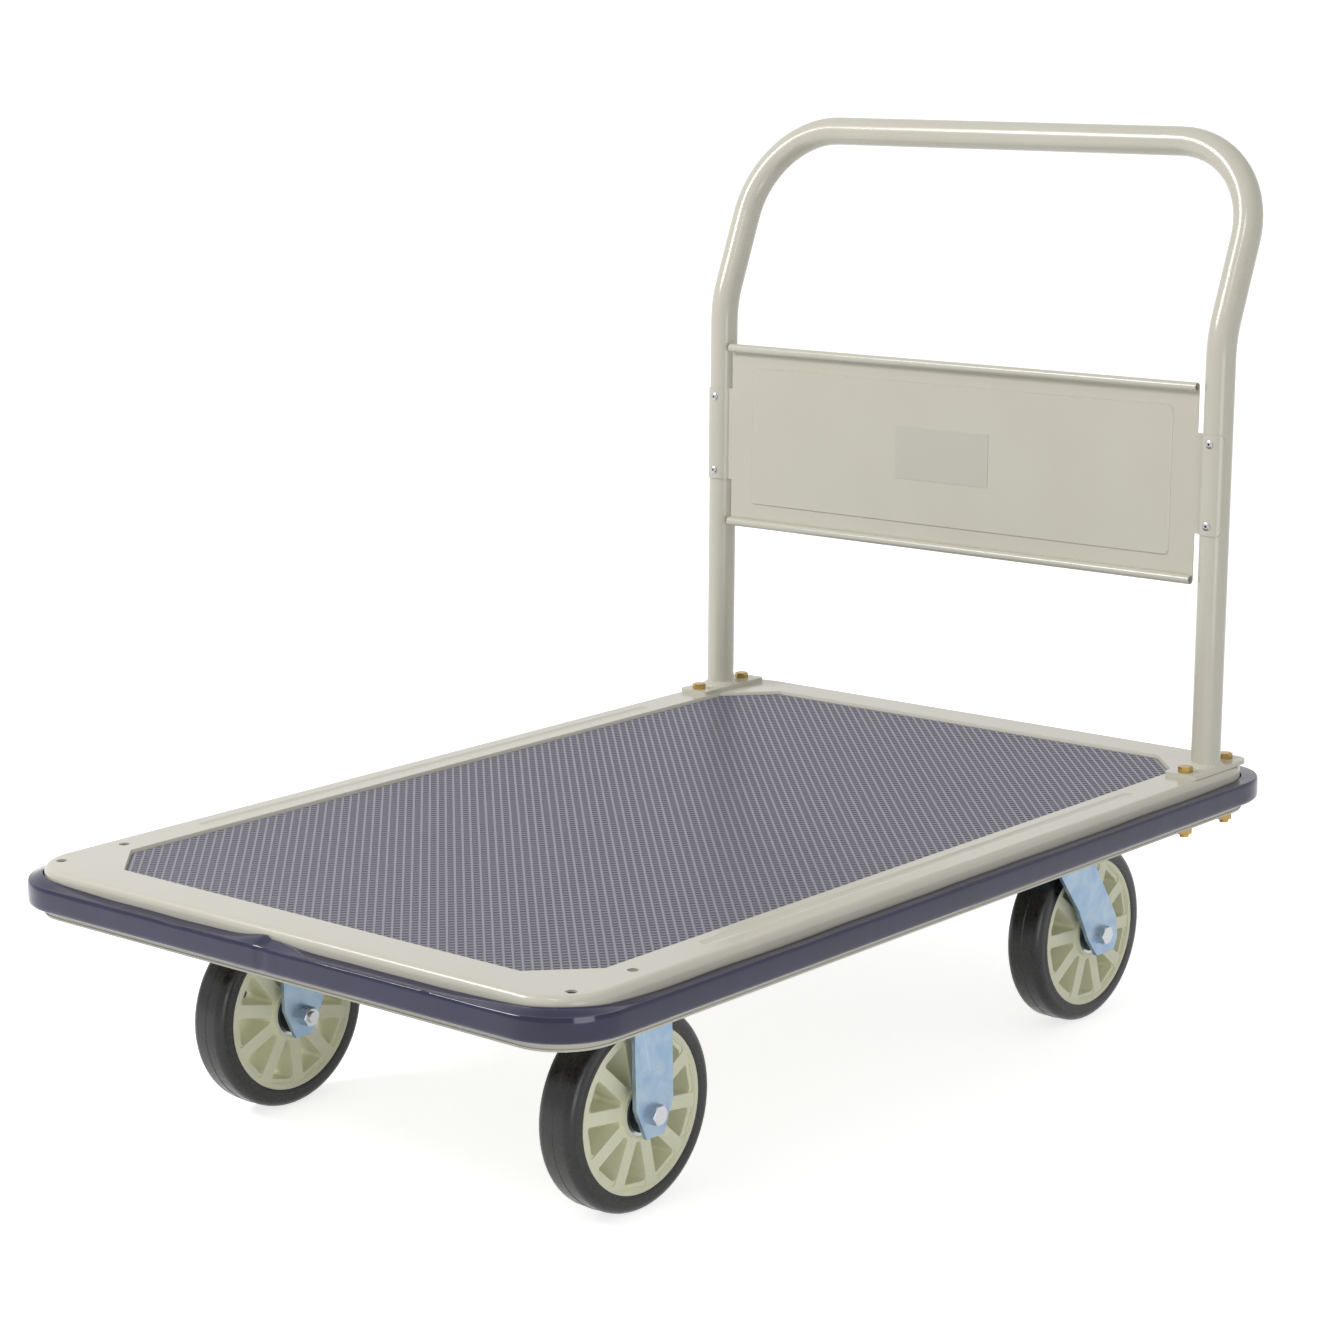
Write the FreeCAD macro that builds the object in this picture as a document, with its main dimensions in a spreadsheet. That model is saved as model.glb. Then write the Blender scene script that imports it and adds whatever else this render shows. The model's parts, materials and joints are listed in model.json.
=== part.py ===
import FreeCAD, Part
import math
import os

import Sketcher
from FreeCAD import Placement, Rotation, Vector

# Platform trolley: a pressed steel deck with a mat and a bumper, a bent tube push handle with a
# sheet panel, two fixed casters at the front (-X) and two swivel casters under the handle (+X).
# +Z is up, +X points to the handle, and the origin is on the floor at the middle of the outline.

doc = FreeCAD.newDocument("PlatformTrolley")
sheet = doc.addObject("Spreadsheet::Sheet", "Sizes")

SIZES = {
    # deck
    "deck_length": 1120, "deck_width": 740, "deck_rise": 38, "deck_height": 48.5,
    "deck_corner": 56, "deck_sheet": 2, "wall_lean": 1, "rim_round": 7,
    "lip_width": 1, "lip_height": 2,
    "mat_margin_x": 51, "mat_margin_y": 50, "mat_corner": 52, "mat_thickness": 2.5,
    "recess_depth": 5, "recess_slope": 2, "mat_gap": 0.6,
    "groove_margin": 211, "groove_inset": 29, "groove_width": 15, "groove_depth": 1.5,
    "bumper_reach": 16, "bumper_height": 26, "bumper_drop": 38, "bumper_round": 5,
    "bumper_gap": 0.3,
    # under the deck
    "channel_width": 150, "channel_sheet": 2.5, "channel_end_gap": 8,
    "stiffener_width": 50, "stiffener_sheet": 2, "stiffener_offset": 150, "stiffener_rise": 4,
    "stiffener_gap": 2,
    "bracket_length": 102, "bracket_width": 28, "bracket_sheet": 3, "bracket_drop": 52,
    "bracket_clip_x": 23, "bracket_clip_y": 12,
    # handle
    "tube_radius": 16, "tube_wall": 2, "foot_inset": 73, "handle_inset": 25,
    "kink_out": 16, "kink_up": 467, "bar_out": 101, "bar_up": 667, "bend_radius": 120,
    "corner_radius": 108, "foot_length": 109, "foot_border": 4.5, "foot_thickness": 4.5,
    "foot_shift": 3.5, "foot_corner": 4, "foot_round": 15, "weld_size": 5,
    "bolt_pitch": 80, "bolt_radius": 5, "bolt_across": 14, "head_height": 6.4,
    "crown_share": 0.96, "crown_slope": 60,
    "hole_gap": 0.5, "washer_radius": 10, "washer_thickness": 2, "nut_height": 10,
    "bolt_tail": 3,
    # panel
    "panel_height": 207.6, "panel_base": 202.6, "panel_gap": 4.5, "panel_sheet": 1.2,
    "panel_front": 8, "hem_radius": 5, "emboss_margin": 31.5, "emboss_base": 23,
    "emboss_height": 163, "emboss_rise": 1.5, "emboss_corner": 5, "tab_base": 252.7,
    "tab_height": 108.5, "tab_corner": 8, "tab_angle": 58, "tube_gap": 0.1,
    "rivet_pitch": 88, "rivet_head": 4.5, "rivet_shank": 2.4, "rivet_length": 9,
    "rivet_dome": 1.3, "rivet_bore": 1.3, "label_length": 130, "label_height": 60,
    "label_thickness": 0.4, "label_z": 306.7, "label_y": 13,
    # casters
    "front_inset": 216.5, "swivel_inset": 220, "caster_inset": 132, "trail": 55,
    "plate_length": 140, "plate_width": 104, "plate_thickness": 5, "plate_corner": 8,
    "plate_pitch_x": 105, "plate_pitch_y": 80, "caster_across": 16, "caster_bolt_tail": 3,
    "fork_inner": 67, "fork_sheet": 4.5, "fork_bend": 5, "fork_low": 22,
    "fixed_leg": 52, "fixed_chamfer_x": 14, "fixed_chamfer_z": 32,
    "pad_width": 30, "pad_tip": 14, "pad_length": 80, "pad_drop": 18, "pad_rise": 0.8,
    "crown_drop": 17, "crown_rear": 52, "crown_front": 38, "leg_front": 17,
    "knee_x": 9, "knee_up": 37, "shin_x": 29, "shin_up": -2, "toe_rear": 10, "toe_front": 22,
    "heel_x": 29, "heel_up": -9, "calf_x": 26, "calf_up": 16,
    "race_radius": 27, "race_half": 6, "race_height": 4, "ball_radius": 4, "ball_gap": 0.05,
    "ball_count": 18, "kingpin_radius": 7, "kingpin_head": 12, "kingpin_head_height": 6,
    "running_gap": 0.05, "thrust_gap": 0.1,
    # wheels
    "wheel_radius": 100, "wheel_gap": 18.5, "tyre_width": 44.5, "tyre_depth": 19,
    "tyre_round": 10, "rim_width": 42, "spoke_width": 40, "hub_gap": 9.5, "hub_wall": 3.5,
    "rim_land": 4.5, "window_count": 10, "window_wall": 3, "window_margin": 9,
    "spoke_thickness": 13.5, "spoke_proud": 1.6, "window_draft": 2, "window_corner": 3.5,
    "tyre_gap": 0.02, "turn_front_left": 32, "turn_front_right": 25.4, "turn_rear_left": 7,
    "turn_rear_right": 21.5,
    "bearing_radius": 23.5, "bearing_width": 14, "bearing_gap": 0.05, "seal_depth": 0.6,
    "inner_race": 13.5, "outer_race": 20.5, "sleeve_radius": 10, "sleeve_gap": 0.1,
    "axle_radius": 6, "axle_across": 18, "axle_head": 7.5, "axle_nut": 12, "axle_tail": 3,
    "axle_gap": 0.2,
}

# sizes and places that follow from the ones above
PLACES = {
    "mount_height": "2 * wheel_radius + wheel_gap + fork_sheet + crown_drop",
    "crown_top": "mount_height - crown_drop",
    "deck_top": "mount_height + deck_rise",
    "mat_length": "deck_length - 2 * mat_margin_x",
    "mat_width": "deck_width - 2 * mat_margin_y",
    "groove_length": "deck_length - 2 * groove_margin - groove_width",
    "groove_offset": "deck_width / 2 - groove_inset",
    "groove_radius": "(groove_width ^ 2 / 4 + groove_depth ^ 2) / (2 * groove_depth)",
    "bumper_length": "deck_length + 2 * bumper_reach",
    "bumper_width": "deck_width + 2 * bumper_reach",
    "bumper_corner": "deck_corner + bumper_reach",
    "bumper_base": "deck_top - bumper_drop",
    "bracket_base": "deck_top - bracket_drop",
    "hole_radius": "bolt_radius + hole_gap",
    "foot_x": "deck_length / 2 - foot_inset",
    "foot_width": "2 * tube_radius + 2 * foot_border",
    "handle_offset": "deck_width / 2 - handle_inset",
    "kink_x": "foot_x + kink_out",
    "kink_z": "deck_top + kink_up",
    "bar_x": "foot_x + bar_out",
    "bar_z": "deck_top + bar_up",
    "front_x": "front_inset - deck_length / 2",
    "swivel_x": "deck_length / 2 - swivel_inset",
    "caster_y": "deck_width / 2 - caster_inset",
    "pad_high": "mount_height - pad_drop",
    "pad_low": "pad_high - pad_length",
    "knee_z": "wheel_radius + knee_up",
    "shin_z": "wheel_radius + shin_up",
    "heel_z": "wheel_radius + heel_up",
    "calf_z": "wheel_radius + calf_up",
    "rim_radius": "wheel_radius - tyre_depth",
    "rim_inner": "rim_radius - rim_land",
    "hub_width": "fork_inner - 2 * hub_gap",
    "hub_radius": "bearing_radius + hub_wall",
    "window_root": "hub_radius + window_wall",
    "window_tip": "rim_radius - window_margin",
    "bearing_bore": "sleeve_radius + bearing_gap",
    "sleeve_bore": "axle_radius + sleeve_gap",
    "axle_hole": "axle_radius + axle_gap",
}

for row, (name, value) in enumerate(SIZES.items(), start=1):
    sheet.set(f"A{row}", name)
    sheet.set(f"B{row}", str(value))
    sheet.setAlias(f"B{row}", name)
doc.recompute()


def bound(expression):
    """The same expression with sheet names as Sizes.name and every place written out."""
    words = []
    word = ""
    for letter in expression + " ":
        if letter.isalnum() or letter in "_.":
            word += letter
            continue
        if word in SIZES:
            word = "Sizes." + word
        elif word in PLACES:
            word = f"({bound(PLACES[word])})"
        words.extend([word, letter])
        word = ""
    return "".join(words).strip()


def size(name):
    """A size or a place as a number, in millimetres."""
    return float(sheet.evalExpression(bound(name)))


# the frame's origin is the middle of the outline from the bumper's front to the push bar's back
ORIGIN_X = "(bumper_length / 2 - bar_x - tube_radius) / 2"
LEAN = "atan((kink_x - foot_x) / (kink_z - deck_top - foot_thickness))"
FOOT_Z = "deck_top + foot_thickness"
WALL_FOOT = "deck_top - deck_height"
WEB_TOP = "mount_height + channel_sheet"
DECK_UNDER = "deck_top - recess_depth - deck_sheet"
WALL_ANGLE = "atan(wall_lean / deck_height)"

# heights below a caster's mounting face
CROWN_TOP = "crown_top - mount_height"
BALL_Z = "(crown_top - mount_height - plate_thickness) / 2"


def bind(item, path, expression):
    item.setExpression(path, bound(expression))


def place(item, x=ORIGIN_X, y="0", z="0"):
    bind(item, "Placement.Base.x", x)
    bind(item, "Placement.Base.y", y)
    bind(item, "Placement.Base.z", z)
    return item


def newBody(name):
    return doc.addObject("PartDesign::Body", name)


def newSketch(body, role, offset="0"):
    """Sketch on one of the body's own planes, moved along the plane's normal."""
    sketch = body.newObject("Sketcher::SketchObject", body.Name + "Sketch")
    plane = [item for item in body.Origin.OriginFeatures if item.Role == role][0]
    sketch.AttachmentSupport = [(plane, "")]
    sketch.MapMode = "FlatFace"
    bind(sketch, "AttachmentOffset.Base.z", offset)
    return sketch


def pin(sketch, geometry, point, x, y):
    """Hold a point of the sketch at x, y from the sketch's origin."""
    for kind, distance in (("DistanceX", x), ("DistanceY", y)):
        index = sketch.addConstraint(Sketcher.Constraint(kind, -1, 1, geometry, point, 1.0))
        bind(sketch, f"Constraints[{index}]", distance)


def polygon(sketch, corners):
    """Closed outline through corners that are given as expressions."""
    first = sketch.GeometryCount
    count = len(corners)
    ring = [Vector(math.cos(turn), math.sin(turn), 0)
            for turn in (2 * math.pi * step / count for step in range(count))]
    for step in range(count):
        sketch.addGeometry(Part.LineSegment(ring[step], ring[(step + 1) % count]), False)
    for step in range(count):
        after = first + (step + 1) % count
        sketch.addConstraint(Sketcher.Constraint("Coincident", first + step, 2, after, 1))
    for step, (x, y) in enumerate(corners):
        pin(sketch, first + step, 1, x, y)


def rectangle(sketch, low_x, high_x, low_y, high_y):
    polygon(sketch, [(low_x, low_y), (high_x, low_y), (high_x, high_y), (low_x, high_y)])


def centred(sketch, length, width):
    rectangle(sketch, f"-({length}) / 2", f"({length}) / 2", f"-({width}) / 2", f"({width}) / 2")


def circle(sketch, x, y, radius):
    index = sketch.addGeometry(Part.Circle(Vector(0, 0, 0), Vector(0, 0, 1), 1.0), False)
    pin(sketch, index, 3, x, y)
    held = sketch.addConstraint(Sketcher.Constraint("Radius", index, 1.0))
    bind(sketch, f"Constraints[{held}]", radius)


def pad(body, sketch, length, side="One side", taper=None, reverse=False):
    feature = body.newObject("PartDesign::Pad", body.Name + "Pad")
    feature.Profile = sketch
    feature.SideType = side
    feature.Reversed = reverse
    bind(feature, "Length", length)
    if taper:
        bind(feature, "TaperAngle", taper)
    doc.recompute()
    return feature


def pocket(body, sketch, length=None, side="One side", taper=None, reverse=False):
    """Cut the sketch from the body, and refuse a cut that takes nothing away."""
    before = body.Shape.Volume
    feature = body.newObject("PartDesign::Pocket", body.Name + "Pocket")
    feature.Profile = sketch
    feature.SideType = side
    feature.Reversed = reverse
    if length:
        bind(feature, "Length", length)
    else:
        feature.Type = "ThroughAll"
    if taper:
        bind(feature, "TaperAngle", taper)
    doc.recompute()
    if not feature.Shape.Volume < before:
        raise RuntimeError(feature.Name + " removes no material")
    return feature


def dress(kind, body, amount, wanted):
    """Fillet or chamfer the edges of the body's tip for which wanted(edge) is true."""
    base = body.Tip
    edges = [f"Edge{number}" for number, edge in enumerate(base.Shape.Edges, start=1)
             if wanted(edge)]
    feature = body.newObject("PartDesign::" + kind, body.Name + kind)
    feature.Base = (base, edges)
    bind(feature, "Radius" if kind == "Fillet" else "Size", amount)
    doc.recompute()
    return feature


def revolve(body, sketch, axis):
    feature = body.newObject("PartDesign::Revolution", body.Name + "Revolution")
    feature.Profile = sketch
    feature.ReferenceAxis = (sketch, [axis])
    feature.Angle = 360
    doc.recompute()
    return feature


def upright(edge):
    """True for an edge that climbs from one level to another, such as a box's corner."""
    box = edge.BoundBox
    return box.ZLength > max(box.XLength, box.YLength) and len(edge.Vertexes) == 2


def level(edge, height):
    box = edge.BoundBox
    return box.ZLength < 1e-4 and abs(box.ZMin - height) < 1e-4


def instance(label, source, x=ORIGIN_X, y="0", z="0", turn=None):
    """The source again at another place, as a piece of its own."""
    item = doc.addObject("Part::Compound", label)
    item.Links = [source]
    if turn:
        item.Placement = Placement(Vector(), turn)
    return place(item, x, y, z)


def group(label, items):
    item = doc.addObject("Part::Compound", label)
    item.Links = items
    return item


def shifted(x):
    return f"{ORIGIN_X} + {x}"


# ---------------------------------------------------------------- deck

def tray(name, inset):
    """Solid block of the deck's outside, or of the space under its sheet when inset."""
    body = newBody(name)
    outline = newSketch(body, "XY_Plane", WALL_FOOT)
    centred(outline, f"deck_length - 2 * {inset}", f"deck_width - 2 * {inset}")
    pad(body, outline, f"deck_height - {inset}", taper="-" + WALL_ANGLE)
    dress("Fillet", body, f"deck_corner - {inset}", upright)
    top = max(vertex.Z for vertex in body.Shape.Vertexes)
    dress("Fillet", body, f"rim_round - {inset}", lambda edge: level(edge, top))
    recess = newSketch(body, "XY_Plane", f"deck_top - {inset}")
    cornered(recess, f"(recess_slope + {inset})")
    pocket(body, recess, "recess_depth", taper="-atan(recess_slope / recess_depth)")
    return body


def slab(name, length, width, corner, base, height):
    """Plain upright block with rounded corners, centred on the origin."""
    body = newBody(name)
    outline = newSketch(body, "XY_Plane", base)
    centred(outline, length, width)
    pad(body, outline, height)
    dress("Fillet", body, corner, upright)
    return body


def difference(name, base, tool):
    item = doc.addObject("Part::Cut", name)
    item.Base = base
    item.Tool = tool
    doc.recompute()
    return item


def grooveTools(name, grow):
    """Two long round-bottomed beads along the rims, as solids that are grow mm thicker."""
    radius = f"(groove_radius + {grow})"
    height = "deck_top - groove_depth + groove_radius"
    tools = []
    for way in ("", "-"):
        y = f"{way}groove_offset"
        rod = doc.addObject("Part::Cylinder", name + "Rod")
        rod.Placement = Placement(Vector(), Rotation(Vector(0, 1, 0), 90))
        bind(rod, "Radius", radius)
        bind(rod, "Height", "groove_length")
        tools.append(place(rod, "-groove_length / 2", y, height))
        for end in ("", "-"):
            ball = doc.addObject("Part::Sphere", name + "End")
            bind(ball, "Radius", radius)
            tools.append(place(ball, f"{end}groove_length / 2", y, height))
    whole = doc.addObject("Part::MultiFuse", name)
    whole.Shapes = tools
    return whole


def deckPlate():
    """Pressed tray: leaning walls, a recess for the mat, rim beads and handle holes."""
    outside = difference("DeckBeaded", tray("DeckOutside", "0"), grooveTools("BeadTop", "0"))
    inside = difference("DeckSpace", tray("DeckInside", "deck_sheet"),
                        grooveTools("BeadUnder", "deck_sheet"))
    pressed = difference("DeckPressing", outside, inside)
    lip = difference("DeckLip",
                     slab("DeckLipOuter", "deck_length + 2 * lip_width",
                          "deck_width + 2 * lip_width", "deck_corner + lip_width",
                          WALL_FOOT, "lip_height"),
                     slab("DeckLipInner", "deck_length - 2 * deck_sheet",
                          "deck_width - 2 * deck_sheet", "deck_corner - deck_sheet",
                          f"{WALL_FOOT} - lip_height", "3 * lip_height"))
    whole = doc.addObject("Part::MultiFuse", "DeckWhole")
    whole.Shapes = [pressed, lip]
    drills = [drill(x, y, "hole_radius", WALL_FOOT, "deck_height + deck_sheet")
              for x, y in boltPlaces()]
    return place(difference("DeckPlate", whole, group("DeckDrills", drills)))


def cornered(sketch, grow):
    """The mat's outline, with its four corners cut off, grown all round."""
    length = f"(mat_length / 2 + {grow})"
    width = f"(mat_width / 2 + {grow})"
    cut = f"(mat_corner + {grow} * (2 - sqrt(2)))"
    corners = []
    for along, across, first in (("", "", False), ("-", "", True), ("-", "-", False), ("", "-", True)):
        side = (f"{along}{length}", f"{across}({width} - {cut})")
        end = (f"{along}({length} - {cut})", f"{across}{width}")
        corners.extend([end, side] if first else [side, end])
    polygon(sketch, corners)


def boltPlaces():
    """The eight handle bolt holes: two by each corner of the deck."""
    return [(f"{end}foot_x {step} bolt_pitch / 2", f"{side}handle_offset")
            for end in ("", "-") for side in ("", "-") for step in ("+", "-")]


def drill(x, y, radius, low, length):
    tool = doc.addObject("Part::Cylinder", "Drill")
    bind(tool, "Radius", radius)
    bind(tool, "Height", length)
    return place(tool, x, y, low)


def deckMat():
    body = newBody("deck_mat")
    outline = newSketch(body, "XY_Plane", "deck_top - recess_depth")
    cornered(outline, "-mat_gap")
    pad(body, outline, "mat_thickness")
    return place(body)


def bumperStrip():
    """Soft strip round the deck wall, with the same lean on its inner face as the wall."""
    outer = slab("BumperOuter", "bumper_length", "bumper_width", "bumper_corner",
                 "bumper_base", "bumper_height")
    dress("Fillet", outer, "bumper_round", lambda edge: not upright(edge))
    seat = newBody("BumperSeat")
    outline = newSketch(seat, "XY_Plane", WALL_FOOT)
    centred(outline, "deck_length + 2 * bumper_gap", "deck_width + 2 * bumper_gap")
    pad(seat, outline, "deck_height", taper="-" + WALL_ANGLE)
    dress("Fillet", seat, "deck_corner + bumper_gap", upright)
    return place(difference("BumperStrip", outer, seat))


def casterChannel(name, x):
    """Cross member that is open to the top; the caster plates bolt under its web."""
    body = newBody(name)
    profile = newSketch(body, "XZ_Plane")
    half = "channel_width / 2"
    wall = f"({half} - channel_sheet)"
    polygon(profile, [(f"-{half}", "mount_height"), (half, "mount_height"), (half, DECK_UNDER),
                      (wall, DECK_UNDER), (wall, WEB_TOP), (f"-{wall}", WEB_TOP),
                      (f"-{wall}", DECK_UNDER), (f"-{half}", DECK_UNDER)])
    pad(body, profile, "deck_width - 2 * channel_end_gap", side="Symmetric")
    holes = newSketch(body, "XY_Plane", WEB_TOP)
    for hole_x, hole_y in casterBoltPlaces("0"):
        circle(holes, hole_x, hole_y, "hole_radius")
    pocket(body, holes, "2 * channel_sheet")
    return place(body, shifted(x))


def casterBoltPlaces(x):
    return [(f"{x} {along} plate_pitch_x / 2", f"{side}caster_y {across} plate_pitch_y / 2")
            for side in ("", "-") for along in "+-" for across in "+-"]


def stiffener(name, side):
    """Long member between the two caster channels, open to the deck."""
    body = newBody(name)
    profile = newSketch(body, "YZ_Plane", "front_x + channel_width / 2 + stiffener_gap")
    middle = f"{side}stiffener_offset"
    half = "stiffener_width / 2"
    wall = f"({half} - stiffener_sheet)"
    low = "(mount_height + stiffener_rise)"
    floor = f"{low} + stiffener_sheet"
    polygon(profile, [(f"{middle} - {half}", low), (f"{middle} + {half}", low),
                      (f"{middle} + {half}", DECK_UNDER), (f"{middle} + {wall}", DECK_UNDER),
                      (f"{middle} + {wall}", floor), (f"{middle} - {wall}", floor),
                      (f"{middle} - {wall}", DECK_UNDER), (f"{middle} - {half}", DECK_UNDER)])
    pad(body, profile, "swivel_x - front_x - channel_width - 2 * stiffener_gap")
    return place(body)


def footBracket():
    """Deep channel under the rim for the handle bolts, clipped to clear the deck's corner."""
    body = newBody("FootBracket")
    profile = newSketch(body, "YZ_Plane")
    half = "bracket_width / 2"
    wall = f"({half} - bracket_sheet)"
    top = "deck_top - deck_sheet"
    floor = "bracket_base + bracket_sheet"
    polygon(profile, [(f"-{half}", "bracket_base"), (half, "bracket_base"), (half, top),
                      (wall, top), (wall, floor), (f"-{wall}", floor), (f"-{wall}", top),
                      (f"-{half}", top)])
    pad(body, profile, "bracket_length", side="Symmetric")
    holes = newSketch(body, "XY_Plane", floor)
    for step in ("", "-"):
        circle(holes, f"{step}bolt_pitch / 2", "0", "hole_radius")
    pocket(body, holes, "2 * bracket_sheet")
    clips = newSketch(body, "XY_Plane", "deck_top")
    for end in ("", "-"):
        for side in ("", "-"):
            polygon(clips, [(f"{end}bracket_length / 2", f"{side}(bracket_width / 2 - bracket_clip_y)"),
                            (f"{end}bracket_length / 2", f"{side}bracket_width / 2"),
                            (f"{end}(bracket_length / 2 - bracket_clip_x)",
                             f"{side}bracket_width / 2")])
    pocket(body, clips)
    return body


# ---------------------------------------------------------------- handle

def handleTube():
    """One tube bent four times: two leaning legs, a kink in each and the push bar."""
    foot_z = size("deck_top") + size("foot_thickness")
    lean = Vector(size("kink_x") - size("foot_x"), 0, size("kink_z") - foot_z).normalize()
    foot = Vector(size("foot_x"), 0, foot_z) - lean * size("tube_radius")
    points = [foot, Vector(size("kink_x"), 0, size("kink_z")),
              Vector(size("bar_x"), 0, size("bar_z"))]
    side = Vector(0, size("handle_offset"), 0)
    route = [point - side for point in points] + [point + side for point in reversed(points)]
    bends = [size("bend_radius"), size("corner_radius"), size("corner_radius"),
             size("bend_radius")]
    path = bentPath(route, bends)
    outer = swept(path, route[0], lean, size("tube_radius"))
    inner = swept(path, route[0], lean, size("tube_radius") - size("tube_wall"))
    tube = outer.cut(inner)
    room = 4 * size("tube_radius")
    across = size("deck_width")
    below = Part.makeBox(2 * room, across, room, Vector(foot.x - room, -across / 2, foot_z - room))
    tube = tube.cut([below] + rivetDrills())
    node = doc.addObject("Part::Feature", "HandleTube")
    node.Shape = tube
    return place(node)


def bentPath(points, radii):
    """Straight runs through the points, joined by tangent arcs of the given radii."""
    edges = []
    start = points[0]
    for before, corner, after, radius in zip(points, points[1:], points[2:], radii):
        back = (before - corner).normalize()
        ahead = (after - corner).normalize()
        half_turn = (math.pi - back.getAngle(ahead)) / 2
        reach = radius * math.tan(half_turn)
        inward = (back + ahead).normalize()
        centre = corner + inward * (radius / math.cos(half_turn))
        enter = corner + back * reach
        leave = corner + ahead * reach
        edges.append(Part.LineSegment(start, enter).toShape())
        edges.append(Part.Arc(enter, centre - inward * radius, leave).toShape())
        start = leave
    edges.append(Part.LineSegment(start, points[-1]).toShape())
    return Part.Wire(edges)


def swept(path, start, direction, radius):
    section = Part.Wire([Part.makeCircle(radius, start, direction)])
    return path.makePipeShell([section], True, False)


def rivetPlaces():
    """Rivet centres in the panel's own leaning frame: across and up."""
    middle = "tab_base + tab_height / 2"
    return [(f"{side}handle_offset", f"{middle} {step} rivet_pitch / 2")
            for side in ("", "-") for step in "+-"]


def rivetDrills():
    """Drills from the axes of the leaning legs out through their fronts."""
    foot_z = size("deck_top") + size("foot_thickness")
    angle = math.atan2(size("kink_x") - size("foot_x"), size("kink_z") - foot_z)
    front = Vector(-math.cos(angle), 0, math.sin(angle))
    radius = size("rivet_shank") + size("tube_gap")
    drills = []
    for y, up in rivetPlaces():
        height = size(up)
        start = Vector(size("foot_x") + height * math.sin(angle), size(y),
                       foot_z + height * math.cos(angle))
        drills.append(Part.makeCylinder(radius, 2 * size("tube_radius"), start, front))
    return drills


def footPlate():
    """Flat foot of one leg; the rear outer corner is rounded to follow the deck."""
    body = newBody("FootPlate")
    outline = newSketch(body, "XY_Plane", "deck_top")
    rectangle(outline, "foot_x + foot_shift - foot_length / 2",
              "foot_x + foot_shift + foot_length / 2",
              "-handle_offset - foot_width / 2", "-handle_offset + foot_width / 2")
    pad(body, outline, "foot_thickness")
    holes = newSketch(body, "XY_Plane", FOOT_Z)
    for step in "+-":
        circle(holes, f"foot_x {step} bolt_pitch / 2", "-handle_offset", "hole_radius")
    pocket(body, holes, "2 * foot_thickness")
    rear = size("foot_x") + size("foot_shift")
    outer = -size("handle_offset")
    dress("Fillet", body, "foot_round",
          lambda edge: upright(edge) and edge.CenterOfMass.x > rear
          and edge.CenterOfMass.y < outer and edge.Curve.TypeId == "Part::GeomLine")
    dress("Fillet", body, "foot_corner",
          lambda edge: upright(edge) and edge.Curve.TypeId == "Part::GeomLine"
          and not (edge.CenterOfMass.x > rear + size("foot_corner")
                   and edge.CenterOfMass.y < outer)
          and abs(edge.CenterOfMass.y - outer) > size("foot_width") / 2 - 0.01
          and abs(edge.CenterOfMass.x - rear) > size("foot_length") / 2 - 0.01)
    return body


def weldBead():
    """Ring of weld metal between a leg and its foot plate."""
    bead = doc.addObject("Part::Cone", "BeadCone")
    bind(bead, "Radius1", "tube_radius + weld_size")
    bind(bead, "Radius2", "tube_radius + weld_size / 5")
    bind(bead, "Height", "weld_size")
    place(bead, "foot_x", "0", FOOT_Z)
    leg = doc.addObject("Part::Cylinder", "BeadLeg")
    leg.Placement = Placement(Vector(), Rotation(Vector(0, 1, 0), 1))
    bind(leg, "Placement.Rotation.Angle", LEAN)
    bind(leg, "Radius", "tube_radius")
    bind(leg, "Height", "6 * weld_size")
    place(leg, f"foot_x - 2 * weld_size * tan({LEAN})", "0", f"{FOOT_Z} - 2 * weld_size")
    return difference("Bead", bead, leg)


def leaned(item):
    """Put a piece that is drawn square to the legs into their leaning frame."""
    item.Placement = Placement(Vector(), Rotation(Vector(0, 1, 0), 1))
    bind(item, "Placement.Rotation.Angle", LEAN)
    return place(item, shifted("foot_x"), "0", FOOT_Z)


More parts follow.
